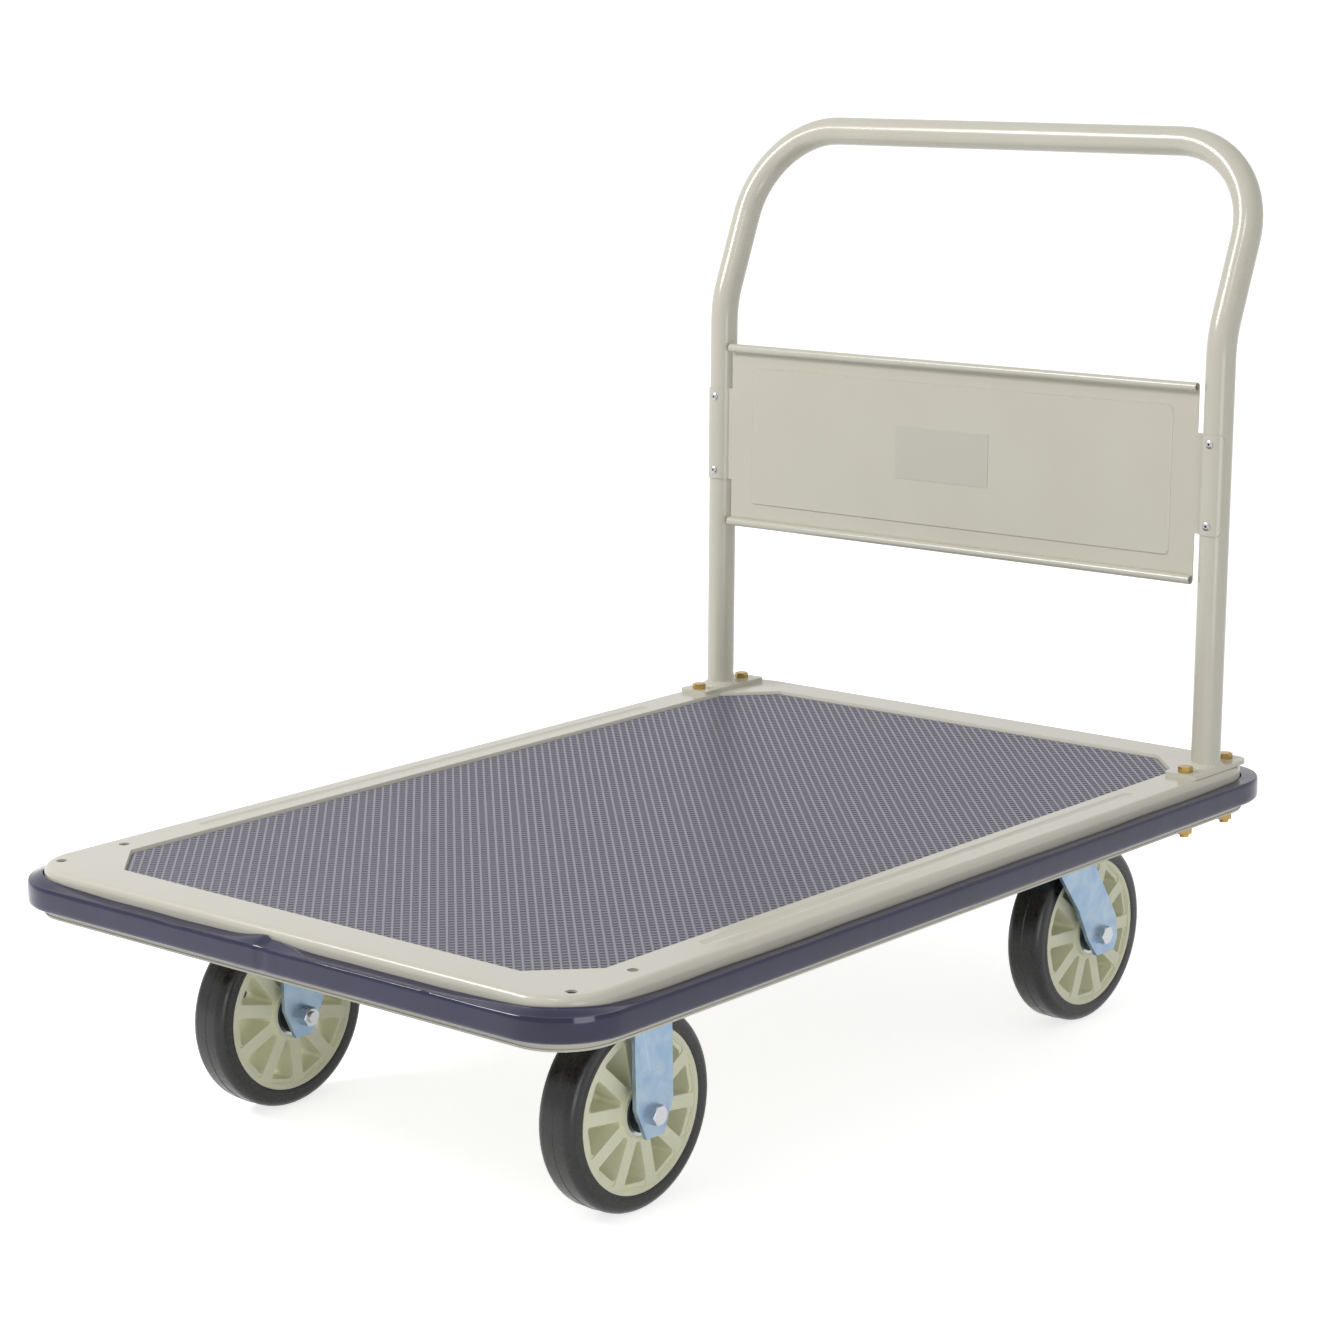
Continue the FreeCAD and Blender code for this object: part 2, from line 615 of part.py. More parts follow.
def handlePanel():
    """Sheet between the legs: raised field, rolled hems and tabs round the legs' fronts."""
    body = newBody("handle_panel")
    half = "(handle_offset - tube_radius - panel_gap)"
    back = "panel_front - panel_sheet"
    field = newSketch(body, "YZ_Plane", "-panel_front")
    rectangle(field, f"-{half}", half, "panel_base", "panel_base + panel_height")
    pad(body, field, "panel_sheet")
    ears = newSketch(body, "YZ_Plane", "-panel_front")
    rectangle(ears, "-handle_offset + tube_radius - 2 * panel_sheet",
              "handle_offset - tube_radius + 2 * panel_sheet",
              "tab_base", "tab_base + tab_height")
    pad(body, ears, "panel_sheet")
    wraps = newSketch(body, "XY_Plane", "tab_base")
    for side in ("", "-"):
        circle(wraps, "0", f"{side}handle_offset", "tube_radius + tube_gap + panel_sheet")
    pad(body, wraps, "tab_height")
    bores = newSketch(body, "XY_Plane", "tab_base + tab_height + panel_sheet")
    for side in ("", "-"):
        circle(bores, "0", f"{side}handle_offset", "tube_radius + tube_gap")
    pocket(body, bores, "tab_height + 2 * panel_sheet")
    behind = newSketch(body, "XY_Plane", "tab_base + tab_height + panel_sheet")
    reach = "3 * tube_radius"
    for side, way in (("", "+"), ("-", "-")):
        middle = f"{side}handle_offset"
        polygon(behind, [(f"-({back})", f"{middle}"),
                         ("0", middle),
                         (f"-{reach} * cos(tab_angle)", f"{middle} {way} {reach} * sin(tab_angle)"),
                         (reach, f"{middle} {way} {reach}"),
                         (reach, f"{side}({half} - panel_gap)"),
                         (f"-({back})", f"{side}({half} - panel_gap)")])
    pocket(body, behind, "tab_height + 2 * panel_sheet")
    clipTabCorners(body)
    hems = newSketch(body, "XZ_Plane")
    centre = f"-({back} + hem_radius)"
    for height in ("panel_base", "panel_base + panel_height"):
        circle(hems, centre, height, "hem_radius")
        circle(hems, centre, height, "hem_radius - panel_sheet")
    pad(body, hems, f"2 * {half}", side="Symmetric")
    raised = newSketch(body, "YZ_Plane", "-panel_front")
    low = "panel_base + emboss_base"
    embossed(raised, half, low, "0")
    pad(body, raised, "emboss_rise", reverse=True)
    front = -size("panel_front") - size("emboss_rise")
    dress("Fillet", body, "emboss_corner",
          lambda edge: abs(edge.CenterOfMass.x - front) < size("emboss_rise") / 2 + 0.01
          and abs(edge.BoundBox.XLength - size("emboss_rise")) < 1e-4
          and edge.BoundBox.ZLength < 1e-4)
    dress("Chamfer", body, "0.8 * emboss_rise",
          lambda edge: edge.BoundBox.XLength < 1e-4
          and abs(edge.CenterOfMass.x - front) < 1e-4)
    hollow = newSketch(body, "YZ_Plane", f"-({back})")
    embossed(hollow, half, low, "panel_sheet")
    pocket(body, hollow, "emboss_rise", reverse=False)
    holes = newSketch(body, "YZ_Plane", "-tube_radius - 3 * panel_sheet")
    for y, height in rivetPlaces():
        circle(holes, y, height, "rivet_shank + tube_gap")
    pocket(body, holes, "4 * panel_sheet", reverse=True)
    return leaned(body)


def clipTabCorners(body):
    """Take the sharp outer corners off the tabs, in two flats that make a round corner."""
    flats = ((0, 1), (0.12, 0.4), (0.45, 0), (0.45, -1))  # across and up, in tab_corner
    corners = newSketch(body, "YZ_Plane", "-2 * tube_radius")
    for side, way in (("", "-"), ("-", "+")):
        tip = f"{side}(handle_offset + (tube_radius + tube_gap + panel_sheet) * sin(tab_angle))"
        outer = f"{side}(handle_offset + 2 * tube_radius)"
        for end, inward, past in (("tab_base", "+", "-"), ("tab_base + tab_height", "-", "+")):
            clip = [(f"{tip} {way} {across} * tab_corner", f"{end} {inward} {up} * tab_corner")
                    for across, up in flats]
            polygon(corners, clip + [(outer, f"{end} {past} tab_corner"),
                                     (outer, f"{end} {inward} tab_corner")])
    pocket(body, corners, "2 * tube_radius", reverse=True)


def embossed(sketch, half, low, inset):
    rectangle(sketch, f"-({half} - emboss_margin - {inset})", f"{half} - emboss_margin - {inset}",
              f"{low} + {inset}", f"{low} + emboss_height - {inset}")


def panelLabel():
    body = newBody("panel_label")
    outline = newSketch(body, "YZ_Plane", "-panel_front - emboss_rise")
    rectangle(outline, "label_y - label_length / 2", "label_y + label_length / 2",
              "label_z - label_height / 2", "label_z + label_height / 2")
    pad(body, outline, "label_thickness", reverse=True)
    return leaned(body)


def blindRivet():
    """Rivet along its own Z axis, with the head's underside at the origin."""
    body = newBody("BlindRivet")
    profile = newSketch(body, "XZ_Plane")
    polygon(profile, [("rivet_bore", "-rivet_length"), ("rivet_shank", "-rivet_length"),
                      ("rivet_shank", "0"), ("rivet_head", "0"), ("rivet_head", "0.3 * rivet_dome"),
                      ("0.6 * rivet_head", "rivet_dome"), ("rivet_bore", "rivet_dome")])
    revolve(body, profile, "V_Axis")
    return body


def panelRivets():
    master = blindRivet()
    rivets = []
    for y, height in rivetPlaces():
        rivet = instance("Rivet", master, "0", "0", "0",
                         Rotation(Vector(0, 0, 1), Vector(-1, 0, 0)))
        rivets.append(place(rivet, "-tube_radius - tube_gap - panel_sheet", y, height))
    return leaned(group("PanelRivets", rivets))


# ---------------------------------------------------------------- fasteners

def hexagon(name, across, height, bore=None):
    """Hexagon along +Z from the origin, with its far corners rounded off like a real head."""
    prism = doc.addObject("Part::Prism", name + "Prism")
    prism.Polygon = 6
    bind(prism, "Circumradius", f"{across} / 2 / cos(30)")
    bind(prism, "Height", height)
    turned = doc.addObject("Part::Cone", name + "Turned")
    bind(turned, "Radius1", f"{across} / 2 * crown_share + {height} * tan(crown_slope)")
    bind(turned, "Radius2", f"{across} / 2 * crown_share")
    bind(turned, "Height", height)
    head = doc.addObject("Part::MultiCommon", name + "Hexagon")
    head.Shapes = [prism, turned]
    if not bore:
        return head
    hole = doc.addObject("Part::Cylinder", name + "Bore")
    bind(hole, "Radius", bore)
    bind(hole, "Height", height)
    return difference(name, head, hole)


def hexBolt(name, across, height, radius, length):
    """Bolt with its head above the origin and its shank below."""
    head = hexagon(name, across, height)
    shank = doc.addObject("Part::Cylinder", name + "Shank")
    bind(shank, "Radius", radius)
    bind(shank, "Height", length)
    place(shank, "0", "0", f"-({length})")
    bolt = doc.addObject("Part::MultiFuse", name)
    bolt.Shapes = [head, shank]
    return bolt


def handleFasteners():
    """Four bolts through the foot plates, with a washer and a nut under each bracket."""
    grip = f"({FOOT_Z} - bracket_base)"
    bolt = hexBolt("HandleBolt", "bolt_across", "head_height", "bolt_radius",
                   f"{grip} + washer_thickness + nut_height + bolt_tail")
    washer = doc.addObject("Part::Cylinder", "WasherDisc")
    bind(washer, "Radius", "washer_radius")
    bind(washer, "Height", "washer_thickness")
    hole = doc.addObject("Part::Cylinder", "WasherHole")
    bind(hole, "Radius", "bolt_radius + tube_gap")
    bind(hole, "Height", "washer_thickness")
    ring = difference("Washer", washer, hole)
    nut = hexagon("HandleNut", "bolt_across", "nut_height", "bolt_radius + tube_gap")
    seats = boltPlaces()[:4]
    down = Rotation(Vector(1, 0, 0), 180)
    bolts = [instance("Bolt", bolt, x, y, FOOT_Z) for x, y in seats]
    rings = [instance("Ring", ring, x, y, "bracket_base - washer_thickness") for x, y in seats]
    nuts = [instance("Nut", nut, x, y, "bracket_base - washer_thickness", down)
            for x, y in seats]
    return {"handle_bolts": place(group("HandleBolts", bolts)),
            "handle_washers": place(group("HandleWashers", rings)),
            "handle_nuts": place(group("HandleNuts", nuts))}


def casterFasteners():
    """Sixteen bolts up through the caster plates, with their nuts inside the channels."""
    length = "plate_thickness + channel_sheet + nut_height + caster_bolt_tail"
    bolt = hexBolt("CasterBolt", "caster_across", "head_height", "bolt_radius", length)
    nut = hexagon("CasterNut", "caster_across", "nut_height", "bolt_radius + tube_gap")
    down = Rotation(Vector(1, 0, 0), 180)
    seats = casterBoltPlaces("front_x") + casterBoltPlaces("swivel_x")
    bolts = [instance("Bolt", bolt, x, y, "mount_height - plate_thickness", down)
             for x, y in seats]
    nuts = [instance("Nut", nut, x, y, WEB_TOP) for x, y in seats]
    return {"caster_bolts": place(group("CasterBolts", bolts)),
            "caster_nuts": place(group("CasterNuts", nuts))}


# ---------------------------------------------------------------- casters

def casterPlate(name):
    """Top plate of a caster with its four bolt holes; its top face is at z = 0."""
    body = newBody(name)
    outline = newSketch(body, "XY_Plane", "-plate_thickness")
    centred(outline, "plate_length", "plate_width")
    pad(body, outline, "plate_thickness")
    dress("Fillet", body, "plate_corner", upright)
    holes = newSketch(body, "XY_Plane", "0")
    for along in ("", "-"):
        for across in ("", "-"):
            circle(holes, f"{along}plate_pitch_x / 2", f"{across}plate_pitch_y / 2", "hole_radius")
    pocket(body, holes, "2 * plate_thickness")
    return body


def race(body, base, length):
    """Ring that holds one side of the ball race, on the body's XY plane at a height."""
    ring = newSketch(body, "XY_Plane", base)
    circle(ring, "0", "0", "race_radius + race_half")
    circle(ring, "0", "0", "race_radius - race_half")
    pad(body, ring, length)


def ballGroove(shape_name, base):
    """The base with a round groove for the balls turned into it at the ball circle."""
    torus = doc.addObject("Part::Torus", shape_name + "Groove")
    bind(torus, "Radius1", "race_radius")
    bind(torus, "Radius2", "ball_radius + ball_gap")
    place(torus, "0", "0", BALL_Z)
    return difference(shape_name, base, torus)


def swivelPlate():
    """Top plate with the upper ball race and a bore for the kingpin."""
    body = casterPlate("SwivelPlateSlab")
    race(body, "-plate_thickness - race_height", "race_height")
    bore = newSketch(body, "XY_Plane", "0")
    circle(bore, "0", "0", "kingpin_radius")
    pocket(body, bore, "2 * plate_thickness")
    return ballGroove("SwivelPlate", body)


def swivelBalls():
    """Ring of steel balls between the two races."""
    ball = doc.addObject("Part::Sphere", "RaceBall")
    bind(ball, "Radius", "ball_radius")
    balls = []
    for step in range(int(size("ball_count"))):
        turn = f"{step} * 360 / ball_count"
        balls.append(instance("Ball", ball, f"race_radius * cos({turn})",
                              f"race_radius * sin({turn})", BALL_Z))
    return group("SwivelBalls", balls)


def kingpin():
    """Pin fixed in the plate; the fork's crown turns on it and rests above its head."""
    body = newBody("Kingpin")
    crown_low = f"{CROWN_TOP} - fork_sheet - thrust_gap"
    profile = newSketch(body, "XZ_Plane")
    polygon(profile, [("0", f"{crown_low} - kingpin_head_height"),
                      ("kingpin_head", f"{crown_low} - kingpin_head_height"),
                      ("kingpin_head", crown_low), ("kingpin_radius", crown_low),
                      ("kingpin_radius", "0"), ("0", "0")])
    revolve(body, profile, "V_Axis")
    return body


def fixedFork():
    """Folded fork of a fixed caster: straight legs with a pressed pad and cut corners."""
    body = newBody("FixedFork")
    top = "(-plate_thickness)"
    bottom = "(wheel_radius - fork_low - mount_height)"
    half = "fixed_leg / 2"
    leg = newSketch(body, "XZ_Plane")
    polygon(leg, [(f"-{half}", top), (f"-{half}", f"{bottom} + fixed_chamfer_z"),
                  (f"-{half} + fixed_chamfer_x", bottom), (f"{half} - fixed_chamfer_x", bottom),
                  (half, f"{bottom} + fixed_chamfer_z"), (half, top)])
    pad(body, leg, "fork_inner + 2 * fork_sheet", side="Symmetric")
    gap = newSketch(body, "XZ_Plane")
    rectangle(gap, "-fixed_leg", "fixed_leg", f"{bottom} - fork_low", f"{top} - fork_sheet")
    pocket(body, gap, "fork_inner", side="Symmetric")
    roundCrown(body, -size("plate_thickness"))
    side = "fork_inner / 2 + fork_sheet"
    for way, reverse in (("", False), ("-", True)):
        face = newSketch(body, "XZ_Plane", f"{way}({side})")
        polygon(face, [("-pad_width / 2", "pad_high - mount_height"),
                       ("-pad_width / 2", "(pad_high + pad_low) / 2 - mount_height"),
                       ("-pad_tip / 2", "pad_low - mount_height"),
                       ("pad_tip / 2", "pad_low - mount_height"),
                       ("pad_width / 2", "(pad_high + pad_low) / 2 - mount_height"),
                       ("pad_width / 2", "pad_high - mount_height")])
        pad(body, face, "pad_rise", taper="-45", reverse=reverse)
    axleHole(body, "0")
    return body


def axleHole(body, x):
    hole = newSketch(body, "XZ_Plane")
    circle(hole, x, "wheel_radius - mount_height", "axle_hole")
    pocket(body, hole, "2 * fork_inner", side="Symmetric")


def roundCrown(body, top):
    """Round the two long outer corners where the crown folds down into the legs."""
    outer = size("fork_inner") / 2 + size("fork_sheet")
    dress("Fillet", body, "fork_bend",
          lambda edge: level(edge, top) and edge.BoundBox.YLength < 1e-4
          and abs(abs(edge.CenterOfMass.y) - outer) < 1e-3)


def swivelFork():
    """Folded fork of a swivel caster: a crown with the lower race and legs that trail back."""
    body = newBody("SwivelForkLegs")
    crown = CROWN_TOP
    under = f"({CROWN_TOP} - fork_sheet)"
    leg = newSketch(body, "XZ_Plane")
    polygon(leg, [("-crown_rear", crown), ("-crown_rear", under),
                  ("knee_x", "knee_z - mount_height"), ("shin_x", "shin_z - mount_height"),
                  ("trail - toe_rear", "wheel_radius - fork_low - mount_height"),
                  ("trail + toe_front", "wheel_radius - fork_low - mount_height"),
                  ("trail + heel_x", "heel_z - mount_height"),
                  ("trail + calf_x", "calf_z - mount_height"),
                  ("leg_front", under), ("crown_front", under), ("crown_front", crown)])
    pad(body, leg, "fork_inner + 2 * fork_sheet", side="Symmetric")
    gap = newSketch(body, "XZ_Plane")
    rectangle(gap, "-2 * crown_rear", "2 * trail + heel_x", "-mount_height", under)
    pocket(body, gap, "fork_inner", side="Symmetric")
    roundCrown(body, size("crown_top") - size("mount_height"))
    race(body, CROWN_TOP, "race_height")
    bore = newSketch(body, "XY_Plane", CROWN_TOP)
    circle(bore, "0", "0", "kingpin_radius + running_gap")
    pocket(body, bore, "2 * fork_sheet")
    axleHole(body, "trail")
    return ballGroove("SwivelFork", body)


# ---------------------------------------------------------------- wheels, about the Y axis

def wheelRim():
    """Moulded wheel: hub with two bearing pockets, ten spokes and a flat rim."""
    body = newBody("WheelBlank")
    profile = newSketch(body, "YZ_Plane")
    half = ["hub_width / 2", "spoke_width / 2", "rim_width / 2"]
    pocket_floor = "(hub_width / 2 - bearing_width)"
    steps = [(pocket_floor, "inner_race"), (pocket_floor, "bearing_radius + tyre_gap"),
             (half[0], "bearing_radius + tyre_gap"), (half[0], "hub_radius"),
             (half[1], "hub_radius"), (half[1], "rim_inner"), (half[2], "rim_inner"),
             (half[2], "rim_radius - tyre_gap")]
    mirrored = [(f"-{y}", radius) for y, radius in reversed(steps)]
    polygon(profile, steps + mirrored)
    revolve(body, profile, "H_Axis")
    return difference("WheelRim", body, windowTools())


def windowTools():
    """Drafted windows between the spokes, each with a shallow step that leaves the spokes proud."""
    count = int(size("window_count"))
    face = size("spoke_width") / 2
    past = size("spoke_proud")
    draft = math.tan(math.radians(size("window_draft"))) * (face + past)
    tip = size("window_tip")
    tools = []
    for way in (-1, 1):
        narrow = windowWire(draft, 0, tip)
        wide = windowWire(0, way * (face + past), tip)
        tools.append(Part.makeLoft([narrow, wide], True, True))
        step = Part.Face(windowWire(0, way * (face - size("spoke_proud")), size("rim_inner")))
        tools.append(step.extrude(Vector(0, way * (size("spoke_proud") + past), 0)))
    window = tools[0].fuse(tools[1:])
    shapes = []
    for step in range(count):
        turned = window.copy()
        turned.rotate(Vector(), Vector(0, 1, 0), step * 360 / count)
        shapes.append(turned)
    node = doc.addObject("Part::Feature", "WindowTools")
    node.Shape = Part.makeCompound(shapes)
    return node


def windowWire(shrink, y, tip):
    """Rounded outline of one window in the plane at y, made smaller by shrink all round."""
    half_step = math.pi / size("window_count")
    edge = size("spoke_thickness") / 2 + shrink
    root = size("window_root") + shrink
    points = []
    for radius, side in ((root, -1), (tip - shrink, -1), (tip - shrink, 1), (root, 1)):
        spread = max(half_step - math.asin(edge / radius), 0.01)
        points.append(Vector(radius * math.cos(spread), y, side * radius * math.sin(spread)))
    return roundedLoop(points, size("window_corner"))


def roundedLoop(points, radius):
    """Closed loop through the points, with every corner rounded within its shorter side."""
    count = len(points)
    arcs = []
    for step, corner in enumerate(points):
        back = points[step - 1] - corner
        ahead = points[(step + 1) % count] - corner
        half_turn = (math.pi - back.getAngle(ahead)) / 2
        reach = min(radius * math.tan(half_turn), 0.45 * back.Length, 0.45 * ahead.Length)
        bend = reach / math.tan(half_turn)
        back.normalize()
        ahead.normalize()
        inward = (back + ahead).normalize()
        centre = corner + inward * (bend / math.cos(half_turn))
        arcs.append(Part.Arc(corner + back * reach, centre - inward * bend,
                             corner + ahead * reach))
    edges = []
    for step, arc in enumerate(arcs):
        after = arcs[(step + 1) % count]
        edges.append(arc.toShape())
        edges.append(Part.LineSegment(arc.EndPoint, after.StartPoint).toShape())
    return Part.Wire(edges)


def tyre():
    body = newBody("Tyre")
    profile = newSketch(body, "YZ_Plane")
    rectangle(profile, "-tyre_width / 2", "tyre_width / 2", "rim_radius", "wheel_radius")
    revolve(body, profile, "H_Axis")
    radius = size("wheel_radius")
    dress("Fillet", body, "tyre_round", lambda edge: edge.BoundBox.ZLength > 2 * radius - 1)
    return body


def bearingPair():
    """Two sealed ball bearings, drawn as one solid each with their seals set back."""
    rings = []
    for name, way in (("BearingLeft", ""), ("BearingRight", "-")):
        body = newBody(name)
        profile = newSketch(body, "YZ_Plane")
        outer = f"{way}(hub_width / 2)"
        sealed = f"{way}(hub_width / 2 - seal_depth)"
        inner = f"{way}(hub_width / 2 - bearing_width)"
        polygon(profile, [(inner, "bearing_bore"), (outer, "bearing_bore"), (outer, "inner_race"),
                          (sealed, "inner_race"), (sealed, "outer_race"), (outer, "outer_race"),
                          (outer, "bearing_radius"), (inner, "bearing_radius")])
        revolve(body, profile, "H_Axis")
        rings.append(body)
    return group("BearingPair", rings)


def axleSleeve():
    """Spacer tube between the fork legs that the bearings turn on."""
    body = newBody("AxleSleeve")
    profile = newSketch(body, "YZ_Plane")
    rectangle(profile, "-fork_inner / 2", "fork_inner / 2", "sleeve_bore", "sleeve_radius")
    revolve(body, profile, "H_Axis")
    return body


# ---------------------------------------------------------------- assembly

nodes = {
    "deck_plate": deckPlate(),
    "deck_mat": deckMat(),
    "bumper_strip": bumperStrip(),
    "caster_channel_front": casterChannel("caster_channel_front", "front_x"),
    "caster_channel_rear": casterChannel("caster_channel_rear", "swivel_x"),
    "stiffener_left": stiffener("stiffener_left", ""),
    "stiffener_right": stiffener("stiffener_right", "-"),
    "handle_tube": handleTube(),
    "handle_panel": handlePanel(),
    "panel_label": panelLabel(),
    "panel_rivets": panelRivets(),
}
nodes.update(handleFasteners())
nodes.update(casterFasteners())

bracket = footBracket()
for label, end in (("front", "-"), ("rear", "")):
    for side_label, side in (("left", ""), ("right", "-")):
        nodes[f"foot_bracket_{label}_{side_label}"] = instance(
            "FootBracketAt", bracket, shifted(f"{end}foot_x"), f"{side}handle_offset")

foot = footPlate()
nodes["foot_plate_right"] = instance("FootPlateRight", foot)
mirror = doc.addObject("Part::Mirroring", "FootPlateMirror")
mirror.Source = foot
mirror.Normal = Vector(0, 1, 0)
nodes["foot_plate_left"] = instance("FootPlateLeft", mirror)
bead = weldBead()
nodes["handle_welds"] = place(group("HandleWelds", [
    instance("Weld", bead, "0", f"{side}handle_offset") for side in ("", "-")]))

fixed_pieces = {"caster_plate": casterPlate("FixedPlate"), "fork": fixedFork()}
swivel_pieces = {"caster_plate": swivelPlate(), "fork": swivelFork(),
                 "swivel_balls": swivelBalls(), "kingpin": kingpin()}
wheel_pieces = {"wheel_rim": wheelRim(), "tyre": tyre(), "bearings": bearingPair(),
                "axle_sleeve": axleSleeve()}
fork_face = "(fork_inner / 2 + fork_sheet)"
axle_bolt = hexBolt("AxleBolt", "axle_across", "axle_head", "axle_radius",
                    f"2 * {fork_face} + axle_nut + axle_tail")
axle_nut = hexagon("AxleNut", "axle_across", "axle_nut", "axle_radius + tube_gap")

for corner, x, side in (("front_left", "front_x", ""), ("front_right", "front_x", "-"),
                        ("rear_left", "swivel_x", ""), ("rear_right", "swivel_x", "-")):
    y = f"{side}caster_y"
    fixed = x == "front_x"
    for kind, source in (fixed_pieces if fixed else swivel_pieces).items():
        nodes[f"{kind}_{corner}"] = instance(kind, source, shifted(x), y, "mount_height")
    axle_x = shifted(x) if fixed else shifted(x) + " + trail"
    for kind, source in wheel_pieces.items():
        piece = instance(kind, source, axle_x, y, "wheel_radius", Rotation(Vector(0, 1, 0), 1))
        bind(piece, "Placement.Rotation.Angle", f"turn_{corner}")
        nodes[f"{kind}_{corner}"] = piece
    outward = -1 if side else 1
    for kind, source, way in (("axle_bolt", axle_bolt, outward), ("axle_nut", axle_nut, -outward)):
        nodes[f"{kind}_{corner}"] = instance(
            kind, source, axle_x, f"{y} + {way} * {fork_face}", "wheel_radius",
            Rotation(Vector(0, 0, 1), Vector(0, way, 0)))

for name, node in nodes.items():
    node.Label = name
doc.recompute()

for item in doc.Objects:
    if "Invalid" in item.State or "Error" in item.State:
        raise RuntimeError(f"{item.Name} failed: {item.State}")
for name, node in nodes.items():
    if node.Shape.isNull() or not node.Shape.isValid():
        raise RuntimeError(f"{name} has no valid shape")

os.makedirs("parts", exist_ok=True)
for name, node in nodes.items():
    node.Shape.exportStep(f"parts/{name}.step")
print(len(nodes), "nodes written")
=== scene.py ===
import json
import math

import bmesh
import bpy
from mathutils import Matrix, Vector, noise


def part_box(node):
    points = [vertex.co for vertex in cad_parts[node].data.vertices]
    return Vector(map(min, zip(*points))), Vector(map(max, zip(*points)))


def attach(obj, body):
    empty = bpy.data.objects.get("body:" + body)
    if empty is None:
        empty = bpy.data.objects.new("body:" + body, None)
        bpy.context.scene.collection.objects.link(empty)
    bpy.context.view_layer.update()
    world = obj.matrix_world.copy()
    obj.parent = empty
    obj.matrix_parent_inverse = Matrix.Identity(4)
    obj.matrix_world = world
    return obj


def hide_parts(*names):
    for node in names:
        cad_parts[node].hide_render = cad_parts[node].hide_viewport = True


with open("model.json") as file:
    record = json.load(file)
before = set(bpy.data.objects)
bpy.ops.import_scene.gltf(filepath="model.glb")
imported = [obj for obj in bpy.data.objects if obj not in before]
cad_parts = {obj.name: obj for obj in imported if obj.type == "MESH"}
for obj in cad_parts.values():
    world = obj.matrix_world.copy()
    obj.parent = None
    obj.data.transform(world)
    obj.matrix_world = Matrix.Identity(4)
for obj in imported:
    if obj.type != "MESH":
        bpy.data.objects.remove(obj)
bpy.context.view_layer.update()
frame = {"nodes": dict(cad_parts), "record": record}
record = frame["record"]
mm = 0.001


def linear(hexColour):  # sRGB hex to the linear colour that the shader wants
    channels = [int(hexColour[i:i + 2], 16) / 255 for i in (1, 3, 5)]
    return (*[c / 12.92 if c <= 0.04045 else ((c + 0.055) / 1.055) ** 2.4 for c in channels], 1.0)


def addNode(tree, kind, inputs=None, **settings):  # one node, its settings, its values and links
    node = tree.nodes.new(kind)
    for name, value in settings.items():
        setattr(node, name, value)
    for socket, value in (inputs or {}).items():
        if isinstance(value, bpy.types.NodeSocket):
            tree.links.new(value, node.inputs[socket])
        else:
            node.inputs[socket].default_value = value
    return node


def newMaterial(name):  # the material, its tree, its shader and the place that patterns read
    material = bpy.data.materials.new(name)
    material.use_nodes = True
    tree = material.node_tree
    shader = tree.nodes["Principled BSDF"]
    place = addNode(tree, "ShaderNodeTexCoord").outputs["Object"]
    return material, tree, shader, place


def setRamp(ramp, *stops):
    while len(ramp.color_ramp.elements) < len(stops):
        ramp.color_ramp.elements.new(0.5)
    for element, (position, colour) in zip(ramp.color_ramp.elements, stops):
        element.position = position
        element.color = colour


def perMetre(grainInMm):  # noise scale that gives features of this size
    return 1 / (grainInMm * mm)


powderCoat = {"colour": "#d0cdbf", "shade": "#cac6b7", "grain": 1.6, "patch": 90, "roughness": 0.17}


def powderCoatedSteel():  # cream polyester powder, baked: soft gloss with a fine orange peel
    material, tree, shader, place = newMaterial("powderCoatedSteel")
    patch = addNode(tree, "ShaderNodeTexNoise", {"Vector": place, "Scale": perMetre(powderCoat["patch"]),
                                                 "Detail": 3.0})
    tint = addNode(tree, "ShaderNodeMix", {"Factor": patch.outputs["Fac"],
                                           "A": linear(powderCoat["colour"]),
                                           "B": linear(powderCoat["shade"])}, data_type="RGBA")
    tree.links.new(tint.outputs["Result"], shader.inputs["Base Color"])
    peel = addNode(tree, "ShaderNodeTexNoise", {"Vector": place, "Scale": perMetre(powderCoat["grain"]),
                                                "Detail": 2.0})
    gloss = addNode(tree, "ShaderNodeMapRange", {"Value": patch.outputs["Fac"],
                                                 "To Min": powderCoat["roughness"] - 0.05,
                                                 "To Max": powderCoat["roughness"] + 0.08})
    tree.links.new(gloss.outputs["Result"], shader.inputs["Roughness"])
    bump = addNode(tree, "ShaderNodeBump", {"Height": peel.outputs["Fac"], "Strength": 0.12,
                                            "Distance": 0.15 * mm})
    tree.links.new(bump.outputs["Normal"], shader.inputs["Normal"])
    return material


zinc = {"blue": "#8fa9c4", "bluePale": "#a9bccb", "yellow": "#bd9c58", "yellowBrown": "#9c8450",
        "patch": 22, "scratch": 1.6}


